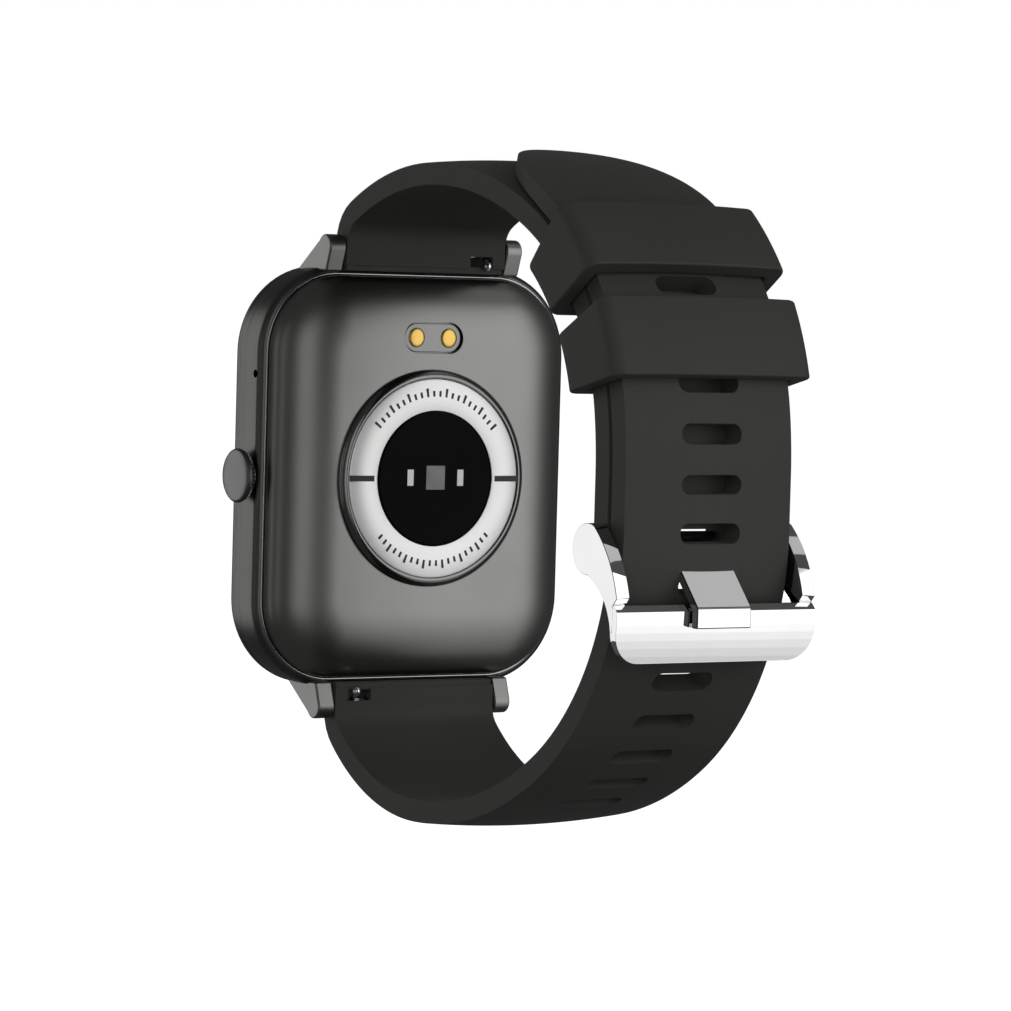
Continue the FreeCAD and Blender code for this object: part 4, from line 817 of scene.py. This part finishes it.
# %% Lugs
def lug(name, sx, sz):
    """A horn: straight flanks from the case to a round tip, extruded 2 mm wide."""
    tip, radius = np.array([0.55 - RIM_PLANE, 24.0]), 1.25
    a = np.radians(np.linspace(-20, 148, 15))
    nose = tip + radius * np.stack([np.cos(a), np.sin(a)], 1)
    root = np.array([[-5.0, 21.4], [-4.4, 20.9], [-0.9, 20.9], [-0.8, 21.35], [1.0, 21.4]])
    root[:, 0] -= RIM_PLANE
    loop = np.concatenate([nose, root])
    loop[:, 1] *= sz
    ends = [np.concatenate([np.full((len(loop), 1), sx * x), loop], 1) for x in (10.0, 12.0)]
    piece = grid_piece(name, np.array(ends), close_cols=True, caps=True)
    soften(piece, 0.22)
    return fit_in(piece, "watch", "case_metal", COVER)


for name, sx, sz in (("lug_top_crown", 1, 1), ("lug_top_left", -1, 1),
                     ("lug_bottom_crown", 1, -1), ("lug_bottom_left", -1, -1)):
    lug(name, sx, sz)

# %% [markdown]
# ## The back cover and its sensor
#
# The cover rises from its rim as a quarter of an ellipse, 7 mm wide and 3.5 mm high, to a flat
# top. Going in from the rim, each loop is the outline moved inwards, lifted by the ellipse; the
# last loops turn from the rounded rectangle into the round hole of the sensor.

# %% Back cover
DOME_RUN, DOME_RISE = 7.0, 3.5
COVER_HALF, COVER_CORNER = (18.03, 21.03), 8.23
SENSOR_HOLE = 10.9


def dome_height(inset):
    """Quarter ellipse: zero at the rim, DOME_RISE once the inset reaches DOME_RUN."""
    share = 1 - np.clip(inset / DOME_RUN, 0, 1)
    return DOME_RISE * np.sqrt(1 - share ** 2)


def cover_rows():
    """Under the rim, over the dome, across the flat and down through the sensor's hole."""
    insets = DOME_RUN * (1 - np.cos(np.linspace(0, np.pi / 2, 40)))
    rows = [carried([(0.9, 0.55), (0.0, 0.55), (0.0, 0.02)], COVER_HALF, COVER_CORNER)]
    rows.append(carried([(inset, -dome_height(inset)) for inset in insets], COVER_HALF,
                        COVER_CORNER))
    last = rows[-1][-1]
    angle = np.arctan2(last[:, 2], last[:, 0])
    ring = np.stack([SENSOR_HOLE * np.cos(angle), last[:, 1], SENSOR_HOLE * np.sin(angle)], 1)
    share = np.linspace(0, 1, 9)[1:, None, None]
    rows.append(last * (1 - share) + ring * share)
    rows.append(ring[None] + np.array([0, -1.0, 0]))
    wide = ring * np.array([1.02, 1, 1.0]) + np.array([0, -1.3, 0])
    rows.append(wide[None])
    return np.concatenate(rows)


def pill(name, centre, length, width, low, high):
    """A rounded slot-shaped cutter along X between two heights above the rim."""
    t = np.linspace(-np.pi / 2, np.pi / 2, 17)
    half, r = (length - width) / 2, width / 2
    right = np.stack([half + r * np.cos(t), r * np.sin(t)], 1)
    loop = np.concatenate([right, -right])
    ends = [np.stack([loop[:, 0], np.full(len(loop), y - RIM_PLANE), loop[:, 1] + centre], 1)
            for y in (low, high)]
    return grid_piece(name, np.array(ends), close_cols=True, caps=True)


CONTACT_Z = 14.72
back = grid_piece("cover_back", cover_rows(), close_rows=True, close_cols=True, sharp_above=38)
carve(back, pill("trough", CONTACT_Z, 7.3, 3.3, 2.75, 5.0))
soften(back, 0.10, angle=50)
fit_in(back, "watch", "cover_plastic", COVER, "back_cover")

floor_plate = soften(pill("trough_floor", CONTACT_Z, 6.95, 2.95, 2.76, 3.18), 0.06)
fit_in(floor_plate, "watch", "cover_plastic", COVER)

# %% Turned pieces
def turned(name, profile, axis_spot=(0.0, 0.0), count=128, sharp_above=32):
    """Turn a profile of (radius, height above the rim) about an axis parallel to Y."""
    profile = np.array(profile, float)
    a = np.linspace(0, 2 * np.pi, count + 1)[:-1]
    x = axis_spot[0] + profile[:, 0, None] * np.cos(a)
    z = axis_spot[1] + profile[:, 0, None] * np.sin(a)
    y = np.broadcast_to(profile[:, 1, None] - RIM_PLANE, x.shape)
    return grid_piece(name, np.stack([x, y, z], -1), close_cols=True, sharp_above=sharp_above)


rim_ring = turned("sensor_rim", [(10.44, 3.3), (10.44, 4.12), (10.62, 4.22), (10.8, 4.2),
                                 (11.15, 4.02), (11.38, 3.78), (11.42, 3.5), (11.42, 3.3),
                                 (10.44, 3.3)], sharp_above=60)
fit_in(rim_ring, "watch", "ring_white", RIM, "sensor_ring")
band_ring = turned("lens_band", [(7.13, 3.9), (7.13, 4.33), (7.2, 4.36), (10.2, 4.17), (10.4, 4.1),
                                 (10.4, 3.3), (7.13, 3.3), (7.13, 3.9)], sharp_above=40)
fit_in(band_ring, "watch", "ring_white", RING, "sensor_lens")
bulge = np.linspace(0, 7.08, 24)
window = turned("lens_window", [(r, 4.46 - 0.12 * (r / 7.08) ** 2) for r in bulge]
                + [(7.12, 4.30), (7.12, 3.4), (0, 3.4)], sharp_above=60)
fit_in(window, "watch", "lens_black", LENS)

# %% Marks, window and lamps on the lens
def plates(name, spots, sizes, turns, heights, thickness=0.03):
    """Thin printed bars lying on the lens: each has a centre, a size and a turn."""
    points, faces = [], []
    for spot, bar, turn, height in zip(spots, sizes, turns, heights):
        c, s = math.cos(turn), math.sin(turn)
        flat = np.array([(-1, -1), (1, -1), (1, 1), (-1, 1)]) * np.array(bar) / 2
        x = spot[0] + flat[:, 0] * c - flat[:, 1] * s
        z = spot[1] + flat[:, 0] * s + flat[:, 1] * c
        for lift in (0, thickness):
            start = len(points)
            points += np.stack([x, np.full(4, height + lift - RIM_PLANE), z], 1).tolist()
        faces += [[start - 4 + i, start - 4 + (i + 1) % 4, start + (i + 1) % 4, start + i]
                  for i in range(4)]
        faces += [[start - 1, start - 2, start - 3, start - 4],
                  [start, start + 1, start + 2, start + 3]]
    return piece_from(name, points, faces)


MARK_RADIUS = 8.75                 # the middle of the ring's printed face


def ring_height(radius):
    """Height of the ring's sloping face at a radius."""
    return 4.36 - 0.19 * (radius - 7.2) / 3.0


def tick_marks():
    """Two arcs of radial ticks, every third one longer, where a maker prints its words."""
    angles = np.radians(np.concatenate([np.arange(38, 144, 5.0), np.arange(222, 320, 5.0)]))
    number = np.arange(len(angles))
    length = np.where(number % 3 == 0, 1.5, 0.9)
    spots = MARK_RADIUS * np.stack([np.cos(angles), np.sin(angles)], 1)
    sizes = np.stack([length, np.full(len(angles), 0.26)], 1)
    heights = np.full(len(angles), ring_height(MARK_RADIUS) - 0.02)
    return plates("ring_marks", spots, sizes, angles, heights)


fit_in(tick_marks(), "watch", "lens_black", INK)
splits = plates("ring_splits", [(MARK_RADIUS, 0.0), (-MARK_RADIUS, 0.0)], [(3.3, 0.6)] * 2,
                [0.0] * 2, [ring_height(MARK_RADIUS) - 0.06] * 2, thickness=0.14)
fit_in(splits, "watch", "lens_black", INK)
diode = plates("diode_window", [(0.0, 0.1)], [(2.3, 2.5)], [0.0], [4.44])
fit_in(diode, "watch", "diode_grey", DIODE, "photodiode")
lamps = plates("lamp_windows", [(-3.1, 0.1), (3.1, 0.1)], [(0.75, 1.7)] * 2, [0.0] * 2,
               [4.42] * 2)
fit_in(lamps, "watch", "led_white", LAMP, "sensor_leds")

# %% Gold contacts
for name, x in (("contact_left", -2.0), ("contact_right", 2.0)):
    pad = turned(name, [(0, 3.30), (0.7, 3.30), (0.95, 3.26), (1.05, 3.16), (1.05, 2.9), (0, 2.9)],
                 (x, CONTACT_Z), count=48, sharp_above=50)
    fit_in(pad, "watch", "gold", GOLD, *(["charge_contacts"] if x < 0 else []))

# %% [markdown]
# ## The crown
#
# A mushroom cap on a knurled collar. The profile is turned about the stem's axis, and on the
# collar the radius rises and falls with the angle, which makes the teeth.

# %% Crown
CROWN_AXIS = (-RIM_PLANE - 2.0, 0.0)
TEETH = 36


def crown_piece():
    """Radius is the profile's, less a rounded tooth gap that repeats round the collar."""
    profile = np.array([(19.35, 0.0), (19.35, 2.15), (19.55, 2.2), (19.6, 2.55), (19.62, 2.6),
                        (20.0, 2.6), (20.02, 2.55), (20.04, 2.72), (20.08, 2.78), (20.2, 2.82),
                        (20.38, 2.78), (20.5, 2.66), (20.56, 2.5), (20.6, 1.9), (20.62, 1.0),
                        (20.625, 0.0)])
    gap = np.array([0, 0, 0, 0.24, 0.26, 0.26, 0.24, 0, 0, 0, 0, 0, 0, 0, 0, 0])
    a = np.linspace(0, 2 * np.pi, 289)[:-1]
    wave = (0.5 - 0.5 * np.cos(a * TEETH)) ** 0.7
    radius = profile[:, 1, None] - gap[:, None] * wave
    y = CROWN_AXIS[0] + radius * np.cos(a)
    z = CROWN_AXIS[1] + radius * np.sin(a)
    x = np.broadcast_to(profile[:, 0, None], y.shape)
    return grid_piece("crown_knob", np.stack([x, y, z], -1), close_cols=True, sharp_above=40)


fit_in(crown_piece(), "crown_turn", "crown_metal", CROWN, "crown")

# %% [markdown]
# ## The buckle
#
# The arms, the tang and the pin keep the designed shape, but polished edges are never sharp, so
# a clean copy of the frame and of the tang gets a fine rounded bevel. The plate's front is not
# flat on the real one. The frame's front is set back, and a face that leans back ever more
# towards the bottom lies over it, so that it mirrors the panels from light to dark. A room full
# of dark corners would draw thin dark lines along the rounded edges. The studio here is too
# plain for that, so a darker chrome on the bevels stands in for them.

# %% Buckle frame behind its face plate
PLATE_CORNER, PLATE_CHAMFER, PLATE_HEIGHT = 3.0, 0.6, 5.6
FACE_THICK, FACE_LEAN, SET_BACK = 0.75, 0.62, 0.72
FACE_FLAT_ROWS, FACE_COLS = 10, 41
EDGE_ANGLE = 35                    # degrees between faces that meet in an edge worth rounding
plate_side, plate_out = (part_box("buckle_frame")[1][axis] * 1000 for axis in (0, 1))
plate_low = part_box("buckle_frame")[0][2] * 1000
plate_top = plate_low + PLATE_HEIGHT


def weigh_edges(piece, side, wide, narrow):
    """Give the edges of the two outer side faces a wide round and every other edge a fine one."""
    work = bmesh.new()
    work.from_mesh(piece.data)
    layer = work.edges.layers.float.new("bevel_weight_edge")
    for edge in work.edges:
        if len(edge.link_faces) == 2 and edge.calc_face_angle(0) > math.radians(EDGE_ANGLE):
            on_side = all(abs(vert.co.x) > (side - 0.02) * MM for vert in edge.verts)
            edge[layer] = wide if on_side else narrow
    work.to_mesh(piece.data)
    work.free()
    return piece


def set_back(piece, plane, depth):
    """Move the flat front of the plate back, to leave room for the curved face."""
    spots = np.empty(len(piece.data.vertices) * 3)
    piece.data.vertices.foreach_get("co", spots)
    spots = spots.reshape(-1, 3)
    spots[(spots[:, 1] > (plane - 0.02) * MM), 1] -= depth * MM
    piece.data.vertices.foreach_set("co", spots.ravel())
    return piece


def face_plate():
    """The plate's polished face: a chamfer on top, then a curve that falls back with the square
    of the way down, and two lower corners that are quarter circles."""
    turn = np.linspace(0, np.radians(88), 22)
    bend_z = plate_low + PLATE_CORNER
    flat_z = np.linspace(plate_top - PLATE_CHAMFER, bend_z, FACE_FLAT_ROWS)[:-1]
    z = np.concatenate([[plate_top], flat_z, bend_z - PLATE_CORNER * np.sin(turn)])
    half = np.concatenate([np.full(FACE_FLAT_ROWS, plate_side),
                           plate_side - PLATE_CORNER * (1 - np.cos(turn))])
    fall = (plate_top - PLATE_CHAMFER - z) / (plate_top - PLATE_CHAMFER - plate_low)
    y = plate_out - FACE_LEAN * np.clip(fall, 0, None) ** 2
    y[0] = plate_out - PLATE_CHAMFER
    across = np.linspace(-1, 1, FACE_COLS)
    points = np.stack([half[:, None] * across, np.repeat(y[:, None], FACE_COLS, 1),
                       np.repeat(z[:, None], FACE_COLS, 1)], -1)
    back = points - np.array([0, FACE_THICK, 0]) * np.where(
        np.arange(len(z)) == 0, 0.4, 1)[:, None, None]
    rows, cols = points.shape[:2]
    front_quads = np.array(grid_quads(rows, cols))
    count = rows * cols
    index = np.arange(count).reshape(rows, cols)
    border = np.concatenate([index[0, :], index[1:, -1], index[-1, -2::-1], index[-2:0:-1, 0]])
    following = np.roll(border, -1)
    walls = np.stack([border, following, following + count, border + count], 1)
    faces = np.concatenate([front_quads, front_quads[:, ::-1] + count, walls])
    both = np.concatenate([points.reshape(-1, 3), back.reshape(-1, 3)])
    return piece_from("buckle_face", both, faces.tolist(), sharp_above=28)


buckle_loop = set_back(from_cad("buckle_loop", "buckle_frame"), plate_out, SET_BACK)
weigh_edges(buckle_loop, plate_side, 1.0, 0.4)
fit_in(soften(buckle_loop, 0.42, segments=5, weighted=True), "buckle", "buckle_chrome", CHROME,
       "buckle_frame", edge=CHROME_PAINTED_DARK_EDGE)
fit_in(soften(face_plate(), 0.12, angle=28), "buckle", "buckle_chrome", CHROME, edge=CHROME_PAINTED_DARK_EDGE)
fit_in(soften(from_cad("tang_strip", "buckle_tang"), 0.12), "tang", "buckle_chrome", CHROME,
       "buckle_tang", edge=CHROME_PAINTED_DARK_EDGE)

# %% [markdown]
# ## What stays as it was designed
#
# The inner pieces and the small steel parts already have their true shape, so they only need
# their finish.

# %% Finishes for the CAD pieces
CAD_FINISHES = {
    "display_glass": GLASS, "display_panel": LENS, "glass_bond": RUBBER, "cover_gasket": RUBBER,
    "sensor_board": BOARD, "main_board": BOARD, "light_barrier": MOULDED, "charge_magnets": STEEL,
    "inner_tray": MOULDED, "board_screws": STEEL, "battery": FOIL, "vibration_motor": STEEL,
    "microphone": STEEL, "crown_seal": RUBBER, "crown_clip": STEEL, "crown_switch": MOULDED,
    "switch_plunger": MOULDED, "spring_bar_top": STEEL, "spring_bar_bottom": STEEL,
    "release_pin_top": CHROME, "release_pin_bottom": CHROME, "bar_spring_top": STEEL,
    "bar_spring_bottom": STEEL, "buckle_pin": CHROME}
for node, material in CAD_FINISHES.items():
    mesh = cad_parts[node].data
    mesh.materials.clear()
    mesh.materials.append(material)
print("CAD pieces with new finishes:", len(CAD_FINISHES))
